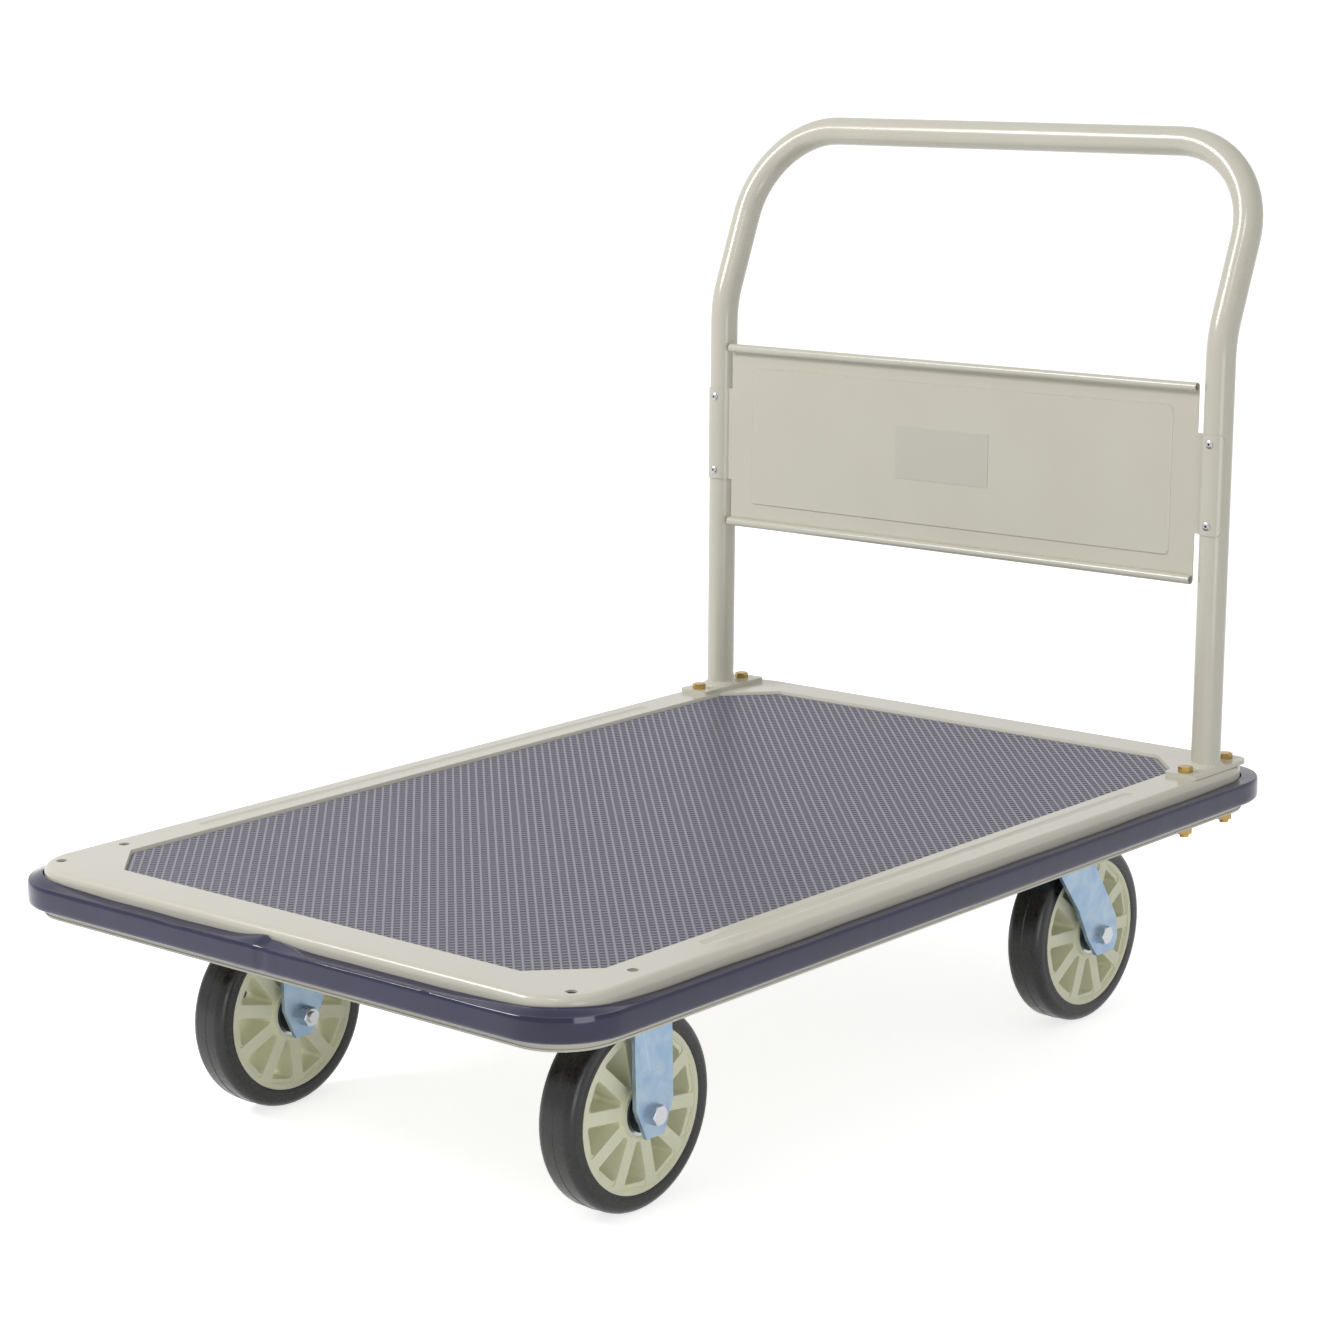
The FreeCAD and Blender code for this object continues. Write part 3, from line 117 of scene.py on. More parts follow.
def zincPlatedSteel(name, first, second, roughness):  # electroplated zinc, passivated: cloudy sheen
    material, tree, shader, place = newMaterial(name)
    cloud = addNode(tree, "ShaderNodeTexNoise", {"Vector": place, "Scale": perMetre(zinc["patch"]),
                                                 "Detail": 4.0, "Distortion": 0.6})
    ramp = addNode(tree, "ShaderNodeValToRGB", {"Fac": cloud.outputs["Fac"]})
    setRamp(ramp, (0.35, linear(first)), (0.65, linear(second)))
    tree.links.new(ramp.outputs["Color"], shader.inputs["Base Color"])
    shader.inputs["Metallic"].default_value = 0.75
    scratch = addNode(tree, "ShaderNodeTexNoise", {"Vector": place, "Scale": perMetre(zinc["scratch"]),
                                                   "Detail": 3.0})
    rough = addNode(tree, "ShaderNodeMapRange", {"Value": cloud.outputs["Fac"],
                                                 "To Min": roughness - 0.07, "To Max": roughness + 0.1})
    tree.links.new(rough.outputs["Result"], shader.inputs["Roughness"])
    bump = addNode(tree, "ShaderNodeBump", {"Height": scratch.outputs["Fac"], "Strength": 0.15,
                                            "Distance": 0.1 * mm})
    tree.links.new(bump.outputs["Normal"], shader.inputs["Normal"])
    return material


brightMetal = {"steel": "#c9cbce", "aluminium": "#b9babb", "grain": 0.9, "dulling": 0.85}


def turnedMetal(name, colour, roughness):  # bare turned or drawn metal: fine even grain
    material, tree, shader, place = newMaterial(name)
    grain = addNode(tree, "ShaderNodeTexNoise", {"Vector": place,
                                                 "Scale": perMetre(brightMetal["grain"]),
                                                 "Detail": 3.0})
    rough = addNode(tree, "ShaderNodeMapRange", {"Value": grain.outputs["Fac"],
                                                 "To Min": roughness - 0.08,
                                                 "To Max": roughness + 0.1})
    tree.links.new(rough.outputs["Result"], shader.inputs["Roughness"])
    bright = linear(colour)
    dull = [channel * brightMetal["dulling"] for channel in bright[:3]] + [1.0]
    tint = addNode(tree, "ShaderNodeMix", {"Factor": grain.outputs["Fac"], "A": bright, "B": dull},
                   data_type="RGBA")
    tree.links.new(tint.outputs["Result"], shader.inputs["Base Color"])
    shader.inputs["Metallic"].default_value = 1.0
    return material


nylon = {"colour": "#f3f3da", "shade": "#e8e9cb", "grain": 7, "texture": 0.7}


def mouldedNylon():  # greenish cream wheel centres: waxy, with flow clouds from the mould
    material, tree, shader, place = newMaterial("mouldedNylon")
    flow = addNode(tree, "ShaderNodeTexNoise", {"Vector": place, "Scale": perMetre(nylon["grain"]),
                                                "Detail": 4.0, "Distortion": 1.2})
    tint = addNode(tree, "ShaderNodeMix", {"Factor": flow.outputs["Fac"], "A": linear(nylon["colour"]),
                                           "B": linear(nylon["shade"])}, data_type="RGBA")
    tree.links.new(tint.outputs["Result"], shader.inputs["Base Color"])
    shader.inputs["Roughness"].default_value = 0.42
    shader.inputs["Subsurface Weight"].default_value = 0.2
    shader.inputs["Subsurface Radius"].default_value = (0.004, 0.004, 0.002)
    shader.inputs["Subsurface Scale"].default_value = 1.0
    fine = addNode(tree, "ShaderNodeTexNoise", {"Vector": place, "Scale": perMetre(nylon["texture"])})
    bump = addNode(tree, "ShaderNodeBump", {"Height": fine.outputs["Fac"], "Strength": 0.15,
                                            "Distance": 0.12 * mm})
    tree.links.new(bump.outputs["Normal"], shader.inputs["Normal"])
    return material


rubber = {"colour": "#0b0b0b", "dust": "#33302d", "scuff": 9, "grain": 0.8}


def solidRubber():  # black vulcanised rubber: oily gloss, dulled by a little dust
    material, tree, shader, place = newMaterial("solidRubber")
    scuff = addNode(tree, "ShaderNodeTexNoise", {"Vector": place, "Scale": perMetre(rubber["scuff"]),
                                                 "Detail": 6.0, "Roughness": 0.7})
    ramp = addNode(tree, "ShaderNodeValToRGB", {"Fac": scuff.outputs["Fac"]})
    setRamp(ramp, (0.5, linear(rubber["colour"])), (0.85, linear(rubber["dust"])))
    tree.links.new(ramp.outputs["Color"], shader.inputs["Base Color"])
    rough = addNode(tree, "ShaderNodeMapRange", {"Value": scuff.outputs["Fac"], "From Min": 0.3,
                                                 "From Max": 0.75, "To Min": 0.2, "To Max": 0.42})
    tree.links.new(rough.outputs["Result"], shader.inputs["Roughness"])
    grain = addNode(tree, "ShaderNodeTexNoise", {"Vector": place, "Scale": perMetre(rubber["grain"]),
                                                 "Detail": 2.0})
    bump = addNode(tree, "ShaderNodeBump", {"Height": grain.outputs["Fac"], "Strength": 0.12,
                                            "Distance": 0.15 * mm})
    tree.links.new(bump.outputs["Normal"], shader.inputs["Normal"])
    return material


# the mat's second colour is painted shade for the pits between its ribs
vinyl = {"strip": "#16154a", "stripDark": "#0d0c30", "mat": "#7d7b89", "matPitShade": "#555461",
         "wave": 60, "line": 1.2, "grain": 1.5}


def extrudedVinyl():  # navy PVC strip, drawn through a die: wet gloss with long faint waves
    material, tree, shader, place = newMaterial("extrudedVinyl")
    wave = addNode(tree, "ShaderNodeTexNoise", {"Vector": place, "Scale": perMetre(vinyl["wave"]),
                                                "Detail": 3.0})
    tint = addNode(tree, "ShaderNodeMix", {"Factor": wave.outputs["Fac"], "A": linear(vinyl["strip"]),
                                           "B": linear(vinyl["stripDark"])}, data_type="RGBA")
    tree.links.new(tint.outputs["Result"], shader.inputs["Base Color"])
    shader.inputs["Roughness"].default_value = 0.1
    stretched = addNode(tree, "ShaderNodeMapping", {"Vector": place, "Scale": (0.02, 0.02, 1.0)})
    line = addNode(tree, "ShaderNodeTexNoise", {"Vector": stretched.outputs["Vector"],
                                                "Scale": perMetre(vinyl["line"]), "Detail": 2.0})
    both = addNode(tree, "ShaderNodeMath", {0: line.outputs["Fac"], 1: 0.06, 2: wave.outputs["Fac"]},
                   operation="MULTIPLY_ADD")
    bump = addNode(tree, "ShaderNodeBump", {"Height": both.outputs["Value"], "Strength": 0.5,
                                            "Distance": 1.5 * mm})
    tree.links.new(bump.outputs["Normal"], shader.inputs["Normal"])
    return material


def embossedVinyl(low, high):  # violet grey PVC sheet, with painted shade that darkens it from the rib tops down into the pits
    material, tree, shader, place = newMaterial("embossedVinyl")
    height = addNode(tree, "ShaderNodeSeparateXYZ", {"Vector": place}).outputs["Z"]
    # painted shade: the lower a point on the mat, the darker it is painted, in place of the shade in the
    # pits
    depth = addNode(tree, "ShaderNodeMapRange", {"Value": height, "From Min": low, "From Max": high})
    tint = addNode(tree, "ShaderNodeMix", {"Factor": depth.outputs["Result"],
                                           "A": linear(vinyl["matPitShade"]), "B": linear(vinyl["mat"])},
                   data_type="RGBA")
    tree.links.new(tint.outputs["Result"], shader.inputs["Base Color"])
    shader.inputs["Roughness"].default_value = 0.33
    grain = addNode(tree, "ShaderNodeTexNoise", {"Vector": place, "Scale": perMetre(vinyl["grain"]),
                                                 "Detail": 2.0})
    bump = addNode(tree, "ShaderNodeBump", {"Height": grain.outputs["Fac"], "Strength": 0.2,
                                            "Distance": 0.1 * mm})
    tree.links.new(bump.outputs["Normal"], shader.inputs["Normal"])
    return material


label = {"film": "#cac7bb", "edge": "#c4c1b5", "grain": 3}


def labelFilm():  # blank grey polyester label: flat, a little duller than the paint
    material, tree, shader, place = newMaterial("labelFilm")
    mottle = addNode(tree, "ShaderNodeTexNoise", {"Vector": place, "Scale": perMetre(label["grain"]),
                                                  "Detail": 2.0})
    tint = addNode(tree, "ShaderNodeMix", {"Factor": mottle.outputs["Fac"], "A": linear(label["film"]),
                                           "B": linear(label["edge"])}, data_type="RGBA")
    tree.links.new(tint.outputs["Result"], shader.inputs["Base Color"])
    shader.inputs["Roughness"].default_value = 0.4
    return material


bearing = {"steel": "#b9bcc0", "seal": "#141414", "innerEdge": 13.5, "outerEdge": 20.5}


def sealedBearing(node, centre):  # ground steel races with a black rubber seal between them
    material, tree, shader, place = newMaterial("sealedBearing_" + node)
    moved = addNode(tree, "ShaderNodeVectorMath", {0: place, 1: centre}, operation="SUBTRACT")
    flat = addNode(tree, "ShaderNodeVectorMath", {0: moved.outputs["Vector"], 1: (1, 0, 1)},
                   operation="MULTIPLY")
    radius = addNode(tree, "ShaderNodeVectorMath", {0: flat.outputs["Vector"]}, operation="LENGTH")
    outside = addNode(tree, "ShaderNodeMath", {0: radius.outputs["Value"], 1: bearing["innerEdge"] * mm},
                      operation="GREATER_THAN")
    inside = addNode(tree, "ShaderNodeMath", {0: radius.outputs["Value"], 1: bearing["outerEdge"] * mm},
                     operation="LESS_THAN")
    seal = addNode(tree, "ShaderNodeMath", {0: outside.outputs["Value"], 1: inside.outputs["Value"]},
                   operation="MULTIPLY").outputs["Value"]
    tint = addNode(tree, "ShaderNodeMix", {"Factor": seal, "A": linear(bearing["steel"]),
                                           "B": linear(bearing["seal"])}, data_type="RGBA")
    tree.links.new(tint.outputs["Result"], shader.inputs["Base Color"])
    metal = addNode(tree, "ShaderNodeMath", {0: 1.0, 1: seal}, operation="SUBTRACT")
    tree.links.new(metal.outputs["Value"], shader.inputs["Metallic"])
    rough = addNode(tree, "ShaderNodeMapRange", {"Value": seal, "To Min": 0.22, "To Max": 0.5})
    tree.links.new(rough.outputs["Result"], shader.inputs["Roughness"])
    return material


def newPiece(name, points, faces, material, body, replaced):
    mesh = bpy.data.meshes.new(name)
    mesh.from_pydata(points, [], faces)
    shell = bmesh.new()  # close the seams, then turn every face outwards
    shell.from_mesh(mesh)
    bmesh.ops.remove_doubles(shell, verts=shell.verts, dist=0.0005 * mm)
    bmesh.ops.recalc_face_normals(shell, faces=shell.faces)
    shell.to_mesh(mesh)
    shell.free()
    piece = bpy.data.objects.new(name, mesh)
    bpy.context.scene.collection.objects.link(piece)
    mesh.materials.append(material)
    return settle(piece, body, replaced)


def settle(piece, body, replaced):
    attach(piece, body)
    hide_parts(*replaced)
    return piece


def smoothed(piece, degrees):  # round faces shade smoothly and edges sharper than this stay
    piece.data.shade_smooth()
    piece.data.set_sharp_from_angle(angle=math.radians(degrees))


bumper = {"step": 6, "cornerTurn": 6, "cornerRadius": 72, "seam": 0.9, "flare": 6.5,
          "flareLength": 34, "flareShort": 0.5, "cornerRise": 7.0, "cornerReach": 80,
          "ripple": 0.9, "rippleLength": 80, "crease": 1.5, "creaseShares": (0.1, 0.12),
          "rearBulge": 3.0, "sideDrop": 2.6, "heldEdge": 2}
# the strip's section: how far out from the deck wall, how far up from its underside, and how
# much of the lip's rise each point takes
bumperSection = [(0.2, 0.3, 0), (3.0, 0.0, 0), (11.5, 0.0, 0), (14.0, 0.7, 0), (15.4, 2.2, 0),
                 (15.9, 4.6, 0), (15.95, 9.0, 0), (15.95, 15.0, 0), (15.9, 19.5, 0),
                 (15.6, 21.8, 0.02), (15.1, 23.2, 0.05), (14.4, 24.2, 0.1), (13.9, 24.3, 0.12),
                 (13.3, 24.2, 0.16), (12.4, 24.3, 0.25), (9.0, 24.6, 0.5), (6.0, 24.8, 0.8),
                 (3.2, 25.0, 0.95), (1.4, 25.2, 1.0), (0.5, 25.3, 1.0), (0.2, 24.9, 1.0)]


def roundedLoop(halfX, halfY, radius):  # points and outward directions round the deck
    corners = [(1, 1, 0), (-1, 1, 90), (-1, -1, 180), (1, -1, 270)]
    loop = []
    for signX, signY, start in corners:
        centre = Vector((signX * (halfX - radius), signY * (halfY - radius)))
        for degree in range(0, 91, bumper["cornerTurn"]):
            turn = math.radians(start + degree)
            out = Vector((math.cos(turn), math.sin(turn)))
            loop.append((centre + out * radius, out))
    filled = []
    for (here, out), (there, nextOut) in zip(loop, loop[1:] + loop[:1]):
        filled.append((here, out))
        length = (there - here).length
        parts = int(length // (bumper["step"] * mm))
        for part in range(1, parts):
            share = part / parts
            filled.append((here.lerp(there, share), out.lerp(nextOut, share).normalized()))
    return filled


def onFront(here, out):  # on the straight stretch across the front
    return here.x < 0 and abs(out.y) < 0.01


def lipRise(here, out, halfX, halfY):  # how much higher the strip's inner lip stands here
    cornerGap = math.hypot(halfX - abs(here.x), halfY - abs(here.y))
    nearCorner = math.exp(-(cornerGap / (bumper["cornerReach"] * mm)) ** 2)
    rise = bumper["cornerRise"] * mm * nearCorner if here.x < 0 else 0.0
    if onFront(here, out):  # the two ends flare up where they meet, one less than the other
        fromSeam = here.y / (bumper["flareLength"] * mm)
        oneSide = 1.0 if here.y > 0 else bumper["flareShort"]
        rise += oneSide * bumper["flare"] * mm * math.exp(-fromSeam ** 2)
    return rise - bumper["sideDrop"] * mm * (1 - nearCorner) * out.y ** 2


def bumperStrip(material):  # soft strip that waves a little along the wall it is pressed onto
    low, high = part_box("bumper_strip")
    middle = Vector(((low[0] + high[0]) / 2, (low[1] + high[1]) / 2))
    halfX = (high[0] - low[0]) / 2
    halfY = (high[1] - low[1]) / 2
    thick = max(part[0] for part in bumperSection) * mm
    loop = roundedLoop(halfX - thick, halfY - thick, bumper["cornerRadius"] * mm - thick)
    points = []
    for here, out in loop:
        atSeam = onFront(here, out) and abs(here.y) < 0.3 * bumper["step"] * mm
        along = Vector((here.x, here.y, 0)) / (bumper["rippleLength"] * mm)
        ripple = bumper["ripple"] * mm * noise.noise(along)
        rise = lipRise(here, out, halfX, halfY) + ripple
        for outward, up, share in bumperSection:
            free = outward > bumper["heldEdge"]  # clear of the edge that the deck wall holds
            pinch = bumper["seam"] * mm if atSeam and free else 0.0
            reach = outward * mm - pinch
            if here.x > 0 and free:  # fullest on the diagonal, none where the arc ends
                reach += bumper["rearBulge"] * mm * (2 * out.x * out.y) ** 2
            if share in bumper["creaseShares"]:
                reach -= ripple * bumper["crease"]
            spot = middle + here + out * reach
            points.append((spot.x, spot.y, low[2] + up * mm + rise * share))
    rings = len(loop)
    side = len(bumperSection)
    faces = [(ring * side + i, ((ring + 1) % rings) * side + i,
              ((ring + 1) % rings) * side + (i + 1) % side, ring * side + (i + 1) % side)
             for ring in range(rings) for i in range(side)]
    piece = newPiece("bumperStrip", points, faces, material, "chassis", ["bumper_strip"])
    smoothed(piece, 50)


mat = {"pitch": 8.4, "ribWidth": 3.6, "topShare": 0.55, "ribHeight": 0.8, "crossDrop": 0.06,
       "corner": 52, "cornerTrim": 0.4, "edge": 1.6, "sunk": 0.2, "pitShadeStart": 0.1, "shortest": 4}


def ribBar(height):  # a rib one metre long, flat below and narrower on top
    half = mat["ribWidth"] / 2 * mm
    top = half * mat["topShare"]
    section = [(-half, 0), (half, 0), (top, height * mm), (-top, height * mm)]
    points = [(x, y, z) for x in (-0.5, 0.5) for y, z in section]
    faces = [(0, 1, 5, 4), (1, 2, 6, 5), (2, 3, 7, 6), (3, 0, 4, 7), (3, 2, 1, 0), (4, 5, 6, 7)]
    mesh = bpy.data.meshes.new("bar")
    mesh.from_pydata(points, [], faces)
    return mesh


def ribTree(material):  # parallel ribs at 45 degrees, each cut to its length inside the mat
    tree = bpy.data.node_groups.new("diagonalRibs", "GeometryNodeTree")
    sockets = tree.interface
    sockets.new_socket("Geometry", in_out="OUTPUT", socket_type="NodeSocketGeometry")
    for name in ("Pitch", "Half Length", "Half Width", "Cut Corner", "Side"):
        sockets.new_socket(name, in_out="INPUT", socket_type="NodeSocketFloat")
    sockets.new_socket("Rib", in_out="INPUT", socket_type="NodeSocketObject")
    given = addNode(tree, "NodeGroupInput").outputs
    root = math.sqrt(2)
    value = {item.name: item for item in given if item.name}
    value["index"] = addNode(tree, "GeometryNodeInputIndex").outputs[0]
    steps = [("bothHalves", "ADD", "Half Length", "Half Width"),
             ("reach", "SUBTRACT", "bothHalves", "Cut Corner"),
             ("spread", "DIVIDE", "reach", root),
             ("rows", "DIVIDE", "spread", "Pitch"),
             ("count", "FLOOR", "rows", 0.0),
             ("twice", "MULTIPLY", "count", 2.0),
             ("number", "ADD", "twice", 1.0),
             ("row", "SUBTRACT", "index", "count"),
             ("offset", "MULTIPLY", "row", "Pitch"),
             ("length", "MULTIPLY", "Half Length", root),
             ("width", "MULTIPLY", "Half Width", root),
             # a rib runs from low to high along its own direction, inside the sides and corners
             ("farEnd", "ADD", "length", "offset"),
             ("lowEnd", "MULTIPLY", "farEnd", -1.0),
             ("lowSide", "SUBTRACT", "offset", "width"),
             ("lowInside", "MAXIMUM", "lowEnd", "lowSide"),
             ("lowCorner", "MULTIPLY", "spread", -1.0),
             ("low", "MAXIMUM", "lowInside", "lowCorner"),
             ("highEnd", "SUBTRACT", "length", "offset"),
             ("highSide", "ADD", "width", "offset"),
             ("highInside", "MINIMUM", "highEnd", "highSide"),
             ("high", "MINIMUM", "highInside", "spread"),
             ("bothEnds", "ADD", "low", "high"),
             ("middle", "MULTIPLY", "bothEnds", 0.5),
             ("size", "SUBTRACT", "high", "low"),
             ("forward", "ADD", "middle", "offset"),
             ("x", "DIVIDE", "forward", root),
             ("sideways", "SUBTRACT", "middle", "offset"),
             ("across", "DIVIDE", "sideways", root),
             ("y", "MULTIPLY", "across", "Side"),
             ("turn", "MULTIPLY", "Side", math.pi / 4)]
    for name, operation, first, second in steps:  # a word is an earlier value, a number itself
        value[name] = addNode(tree, "ShaderNodeMath",
                              {0: value.get(first, first), 1: value.get(second, second)},
                              operation=operation).outputs[0]
    place = addNode(tree, "ShaderNodeCombineXYZ", {"X": value["x"], "Y": value["y"]}).outputs[0]
    line = addNode(tree, "GeometryNodeMeshLine", {"Count": value["number"], "Offset": (0, 0, 0)})
    moved = addNode(tree, "GeometryNodeSetPosition", {"Geometry": line.outputs["Mesh"],
                                                      "Position": place})
    keep = addNode(tree, "FunctionNodeCompare", {"A": value["size"], "B": mat["shortest"] * mm},
                   data_type="FLOAT", operation="GREATER_THAN")
    kept = addNode(tree, "GeometryNodeSeparateGeometry",
                   {"Geometry": moved.outputs["Geometry"], "Selection": keep.outputs["Result"]})
    rib = addNode(tree, "GeometryNodeObjectInfo", {"Object": value["Rib"]})
    angle = addNode(tree, "ShaderNodeCombineXYZ", {"Z": value["turn"]}).outputs[0]
    scale = addNode(tree, "ShaderNodeCombineXYZ",
                    {"X": value["size"], "Y": 1.0, "Z": 1.0}).outputs[0]
    ribs = addNode(tree, "GeometryNodeInstanceOnPoints",
                   {"Points": kept.outputs["Selection"], "Instance": rib.outputs["Geometry"],
                    "Rotation": angle, "Scale": scale})
    real = addNode(tree, "GeometryNodeRealizeInstances", {"Geometry": ribs.outputs["Instances"]})
    painted = addNode(tree, "GeometryNodeSetMaterial", {"Geometry": real.outputs["Geometry"],
                                                        "Material": material})
    addNode(tree, "NodeGroupOutput", {"Geometry": painted.outputs["Geometry"]})
    return tree


def setInput(modifier, name, value):
    for item in modifier.node_group.interface.items_tree:
        if item.name == name and item.in_out == "INPUT":
            modifier[item.identifier] = value


def deckMat():  # base sheet with two crossing families of ribs, one a little lower
    low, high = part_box("deck_mat")
    middle = Vector(((low[0] + high[0]) / 2, (low[1] + high[1]) / 2, 0))
    halfX = (high[0] - low[0]) / 2
    halfY = (high[1] - low[1]) / 2
    top = high[2]
    floor = top - mat["ribHeight"] * mm
    # painted shade in the pits: full below the first height, gone at the rib tops
    material = embossedVinyl(floor + mat["pitShadeStart"] * mm, top)
    tree = ribTree(material)
    meshes = []
    for side, drop in ((1.0, 0), (-1.0, mat["crossDrop"])):
        bar = bpy.data.objects.new("bar", ribBar(mat["ribHeight"] - drop + mat["sunk"]))
        carrier = bpy.data.objects.new("carrier", bpy.data.meshes.new("carrier"))
        bpy.context.scene.collection.objects.link(carrier)
        modifier = carrier.modifiers.new("ribs", "NODES")
        modifier.node_group = tree
        for name, value in (("Pitch", mat["pitch"] * mm), ("Half Length", halfX - mat["edge"] * mm),
                            ("Half Width", halfY - mat["edge"] * mm),
                            ("Cut Corner", (mat["corner"] - mat["edge"]) * mm), ("Side", side),
                            ("Rib", bar)):
            setInput(modifier, name, value)
        depsgraph = bpy.context.evaluated_depsgraph_get()
        mesh = bpy.data.meshes.new_from_object(carrier.evaluated_get(depsgraph))
        mesh.transform(Matrix.Translation(middle + Vector((0, 0, floor - mat["sunk"] * mm))))
        meshes.append(mesh)
        bpy.data.objects.remove(carrier)
        bpy.data.objects.remove(bar)
    corner = (mat["corner"] - mat["cornerTrim"]) * mm
    outline = [(halfX, halfY - corner), (halfX - corner, halfY), (corner - halfX, halfY),
               (-halfX, halfY - corner), (-halfX, corner - halfY), (corner - halfX, -halfY),
               (halfX - corner, -halfY), (halfX, corner - halfY)]
    base = len(outline)
    points = [(middle.x + x, middle.y + y, z) for z in (low[2], floor) for x, y in outline]
    faces = [tuple(range(base))[::-1], tuple(range(base, 2 * base))]
    faces += [(i, (i + 1) % base, base + (i + 1) % base, base + i) for i in range(base)]
    for mesh in meshes:
        start = len(points)
        points += [tuple(vertex.co) for vertex in mesh.vertices]
        faces += [tuple(start + i for i in polygon.vertices) for polygon in mesh.polygons]
    newPiece("deckMat", points, faces, material, "chassis", ["deck_mat"])


weld = {"ripples": 26, "pointsPerRipple": 4, "depth": 0.5, "rise": 5.0, "reach": 5.0,
        "sections": 6, "hollow": 1.3, "overlap": 0.5, "root": 1.5}


def weldBeads(material):  # rippled fillet of weld round each leg, under the same paint
    low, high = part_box("handle_welds")
    points = []
    faces = []
    radius = (high[0] - low[0]) / 2
    middleX = (low[0] + high[0]) / 2
    tube = radius - weld["reach"] * mm
    around = weld["ripples"] * weld["pointsPerRipple"]
    for middleY in (low[1] + radius, high[1] - radius):
        start = len(points)
        for step in range(around):
            turn = 2 * math.pi * step / around
            swell = weld["depth"] * mm * (0.5 + 0.5 * math.sin(weld["ripples"] * turn))
            for part in range(weld["sections"] + 1):
                climb = math.sin(part / weld["sections"] * math.pi / 2)
                spread = (weld["reach"] * mm - swell) * (1 - climb ** weld["hollow"])
                out = tube - weld["overlap"] * mm + spread
                up = (weld["rise"] * mm - swell) * climb
                points.append((middleX + out * math.cos(turn), middleY + out * math.sin(turn),
                               low[2] + up))
            inside = tube - weld["root"] * mm
            points.append((middleX + inside * math.cos(turn), middleY + inside * math.sin(turn),
                           low[2]))
        side = weld["sections"] + 2
        for step in range(around):
            after = (step + 1) % around
            faces += [(start + step * side + i, start + after * side + i,
                       start + after * side + (i + 1) % side, start + step * side + (i + 1) % side)
                      for i in range(side)]
    piece = newPiece("weldBeads", points, faces, material, "chassis", ["handle_welds"])
    smoothed(piece, 60)


tyre = {"around": 120, "partingHeight": 0.4, "partingWidth": 0.7, "ringHeight": 0.35,
        "ringRadius": 84.5, "ringWidth": 2.0, "ringSlope": 0.3, "round": 10, "innerRadius": 81,
        "innerBevel": 0.6}


def tyreSection(halfWidth, radius):  # half of it, from the rim's edge out to the tread's middle
    face = halfWidth - tyre["ringHeight"] * mm
    tread = radius - tyre["partingHeight"] * mm
    ringLow = (tyre["ringRadius"] - tyre["ringWidth"] / 2) * mm
    ringHigh = (tyre["ringRadius"] + tyre["ringWidth"] / 2) * mm
    bend = tyre["round"] * mm
    slope = tyre["ringSlope"] * mm
    points = [(face - tyre["innerBevel"] * mm, tyre["innerRadius"] * mm),
              (face, (tyre["innerRadius"] + tyre["innerBevel"]) * mm), (face, ringLow - slope),
              (halfWidth, ringLow), (halfWidth, ringHigh), (face, ringHigh + slope)]
    for degree in range(0, 91, 9):
        turn = math.radians(degree)
        points.append((face - bend + bend * math.cos(turn), tread - bend + bend * math.sin(turn)))
    wide = tyre["partingWidth"] * mm
    return points + [(wide, tread), (0.4 * wide, radius)]


def tyres(material):  # turned solid tyres with the mould's parting line and a ring on each wall
    for corner in ("front_left", "front_right", "rear_left", "rear_right"):
        node = "tyre_" + corner
        low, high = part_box(node)
        centre = [(a + b) / 2 for a, b in zip(low, high)]
        half = tyreSection((high[1] - low[1]) / 2, (high[2] - low[2]) / 2)
        section = half + [(-y, radius) for y, radius in reversed(half)]
        points = []
        for step in range(tyre["around"]):
            turn = 2 * math.pi * step / tyre["around"]
            points += [(centre[0] + radius * math.cos(turn), centre[1] + y,
                        centre[2] + radius * math.sin(turn)) for y, radius in section]
        side = len(section)
        faces = [(step * side + i, (step + 1) % tyre["around"] * side + i,
                  (step + 1) % tyre["around"] * side + (i + 1) % side, step * side + (i + 1) % side)
                 for step in range(tyre["around"]) for i in range(side)]
        piece = newPiece("tyreRing_" + corner, points, faces, material, "wheel_" + corner, [node])
        smoothed(piece, 32)


def paintNodes():
    cream = powderCoatedSteel()
    blueZinc = zincPlatedSteel("blueZincSteel", zinc["blue"], zinc["bluePale"], 0.34)
    yellowZinc = zincPlatedSteel("yellowZincSteel", zinc["yellow"], zinc["yellowBrown"], 0.26)
    steel = turnedMetal("turnedSteel", brightMetal["steel"], 0.25)
    aluminium = turnedMetal("rivetAluminium", brightMetal["aluminium"], 0.35)
    nylonCentre = mouldedNylon()
    tyreRubber = solidRubber()
    film = labelFilm()
    bySlot = {"deck_paint": cream, "handle_paint": cream, "blue_zinc": blueZinc,
              "yellow_zinc": yellowZinc, "bright_steel": steel, "rivet_aluminium": aluminium,
              "wheel_nylon": nylonCentre, "tyre_rubber": tyreRubber, "label_film": film,
              "bumper_vinyl": extrudedVinyl(),
              "mat_vinyl": film}  # never seen: deckMat stands in for the node that has it
    for part in record["subparts"]:
        node = frame["nodes"][part["node"]]
        if part["material_slot"] == "bearing_steel":
            low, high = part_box(part["node"])
            centre = [(a + b) / 2 for a, b in zip(low, high)]
            material = sealedBearing(part["node"], centre)
        else:
            material = bySlot[part["material_slot"]]
        node.data.materials.clear()
        node.data.materials.append(material)
    return bySlot


view = {"place": (-2.54465, -2.22185, 1.14719), "heading": 41.02, "pitch": -12.12, "roll": -0.8,
        "lens": 89.82, "shiftX": -0.0133, "shiftY": 0.0042}


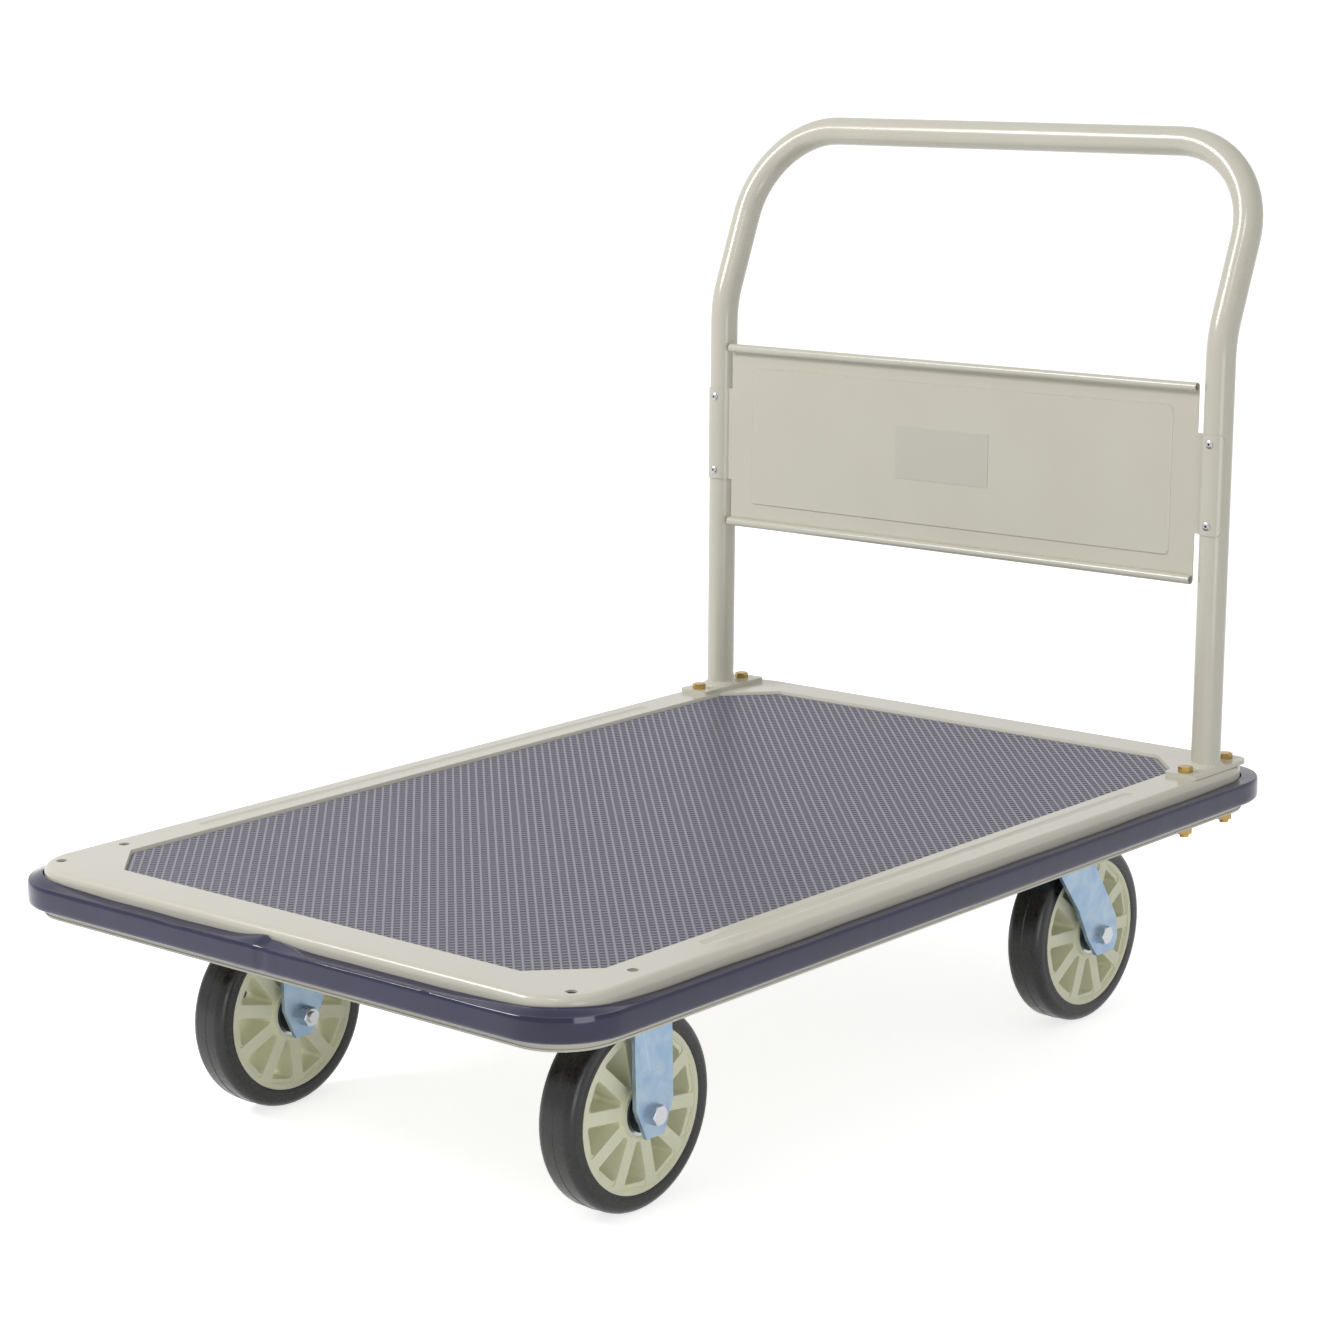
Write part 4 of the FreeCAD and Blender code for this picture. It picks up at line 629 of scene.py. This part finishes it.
def addCamera():
    heading, pitch, roll = (math.radians(view[key]) for key in ("heading", "pitch", "roll"))
    ahead = Vector((math.cos(heading) * math.cos(pitch), math.sin(heading) * math.cos(pitch),
                    math.sin(pitch)))
    right = ahead.cross(Vector((0, 0, 1))).normalized()
    up = right.cross(ahead)
    tiltedRight = right * math.cos(roll) + up * math.sin(roll)
    tiltedUp = up * math.cos(roll) - right * math.sin(roll)
    turn = Matrix((tiltedRight, tiltedUp, -ahead)).transposed().to_4x4()
    camera = bpy.data.cameras.new("camera")
    camera.lens = view["lens"]
    camera.sensor_width = 36
    camera.shift_x = view["shiftX"]
    camera.shift_y = view["shiftY"]
    camera.clip_end = 60
    holder = bpy.data.objects.new("camera", camera)
    holder.matrix_world = Matrix.Translation(view["place"]) @ turn
    bpy.context.scene.collection.objects.link(holder)
    bpy.context.scene.camera = holder


studio = {"world": 0.48, "lamps": [("keyLight", (-2.3, 2.1, 2.9), 1.2, 74),
                                   ("smallLight", (-1.9, -0.7, 3.0), 0.4, 9),
                                   ("lowLight", (-1.3, -2.7, 0.3), 1.2, 15)],
          "floor": "#f2f2f2", "floorGlow": 0.72, "floorReach": 30, "aim": (0, 0, 0.4)}


def addLamp(name, place, size, power):
    lamp = bpy.data.lights.new(name, "AREA")
    lamp.shape = "SQUARE"
    lamp.size = size
    lamp.energy = power
    holder = bpy.data.objects.new(name, lamp)
    holder.location = place
    ahead = Vector(studio["aim"]) - Vector(place)
    holder.rotation_euler = ahead.to_track_quat("-Z", "Y").to_euler()
    bpy.context.scene.collection.objects.link(holder)


def seenDirectly(tree):  # 1 where a ray comes from the camera, a mirror or glass
    path = addNode(tree, "ShaderNodeLightPath").outputs
    mirror = addNode(tree, "ShaderNodeMath", {0: path["Is Glossy Ray"],
                                              1: path["Is Transmission Ray"]}, operation="MAXIMUM")
    return addNode(tree, "ShaderNodeMath", {0: path["Is Camera Ray"], 1: mirror.outputs[0]},
                   operation="MAXIMUM").outputs[0]


def addStudio():
    for name, place, size, power in studio["lamps"]:
        addLamp(name, place, size, power)
    world = bpy.data.worlds.new("studio")
    bpy.context.scene.world = world
    world.use_nodes = True
    tree = world.node_tree
    strength = addNode(tree, "ShaderNodeMapRange", {"Value": seenDirectly(tree),
                                                    "To Min": studio["world"], "To Max": 1.0})
    tree.links.new(strength.outputs["Result"], tree.nodes["Background"].inputs["Strength"])
    tree.nodes["Background"].inputs["Color"].default_value = (1, 1, 1, 1)
    mesh = bpy.data.meshes.new("floor")
    reach = studio["floorReach"]
    corners = [(-reach, -reach, 0), (reach, -reach, 0), (reach, reach, 0), (-reach, reach, 0)]
    mesh.from_pydata(corners, [], [(0, 1, 2, 3)])
    floor = bpy.data.objects.new("floor", mesh)
    bpy.context.scene.collection.objects.link(floor)
    material, tree, shader = newMaterial("paleFloor")[:3]
    shader.inputs["Base Color"].default_value = linear(studio["floor"])
    shader.inputs["Roughness"].default_value = 0.9
    shader.inputs["Specular IOR Level"].default_value = 0.0
    glow = addNode(tree, "ShaderNodeMath", {0: seenDirectly(tree), 1: studio["floorGlow"]},
                   operation="MULTIPLY")
    shine = addNode(tree, "ShaderNodeEmission", {"Color": (1, 1, 1, 1), "Strength": glow.outputs[0]})
    both = addNode(tree, "ShaderNodeAddShader", {0: shader.outputs[0], 1: shine.outputs[0]})
    tree.links.new(both.outputs[0], tree.nodes["Material Output"].inputs["Surface"])
    mesh.materials.append(material)
    bpy.context.scene.view_settings.view_transform = "Standard"


print("finishes")
finishes = paintNodes()
print("bumper strip")
bumperStrip(finishes["bumper_vinyl"])
print("deck mat")
deckMat()
print("weld beads")
weldBeads(finishes["handle_paint"])
print("tyres")
tyres(finishes["tyre_rubber"])
print("camera, light and floor")
addCamera()
addStudio()
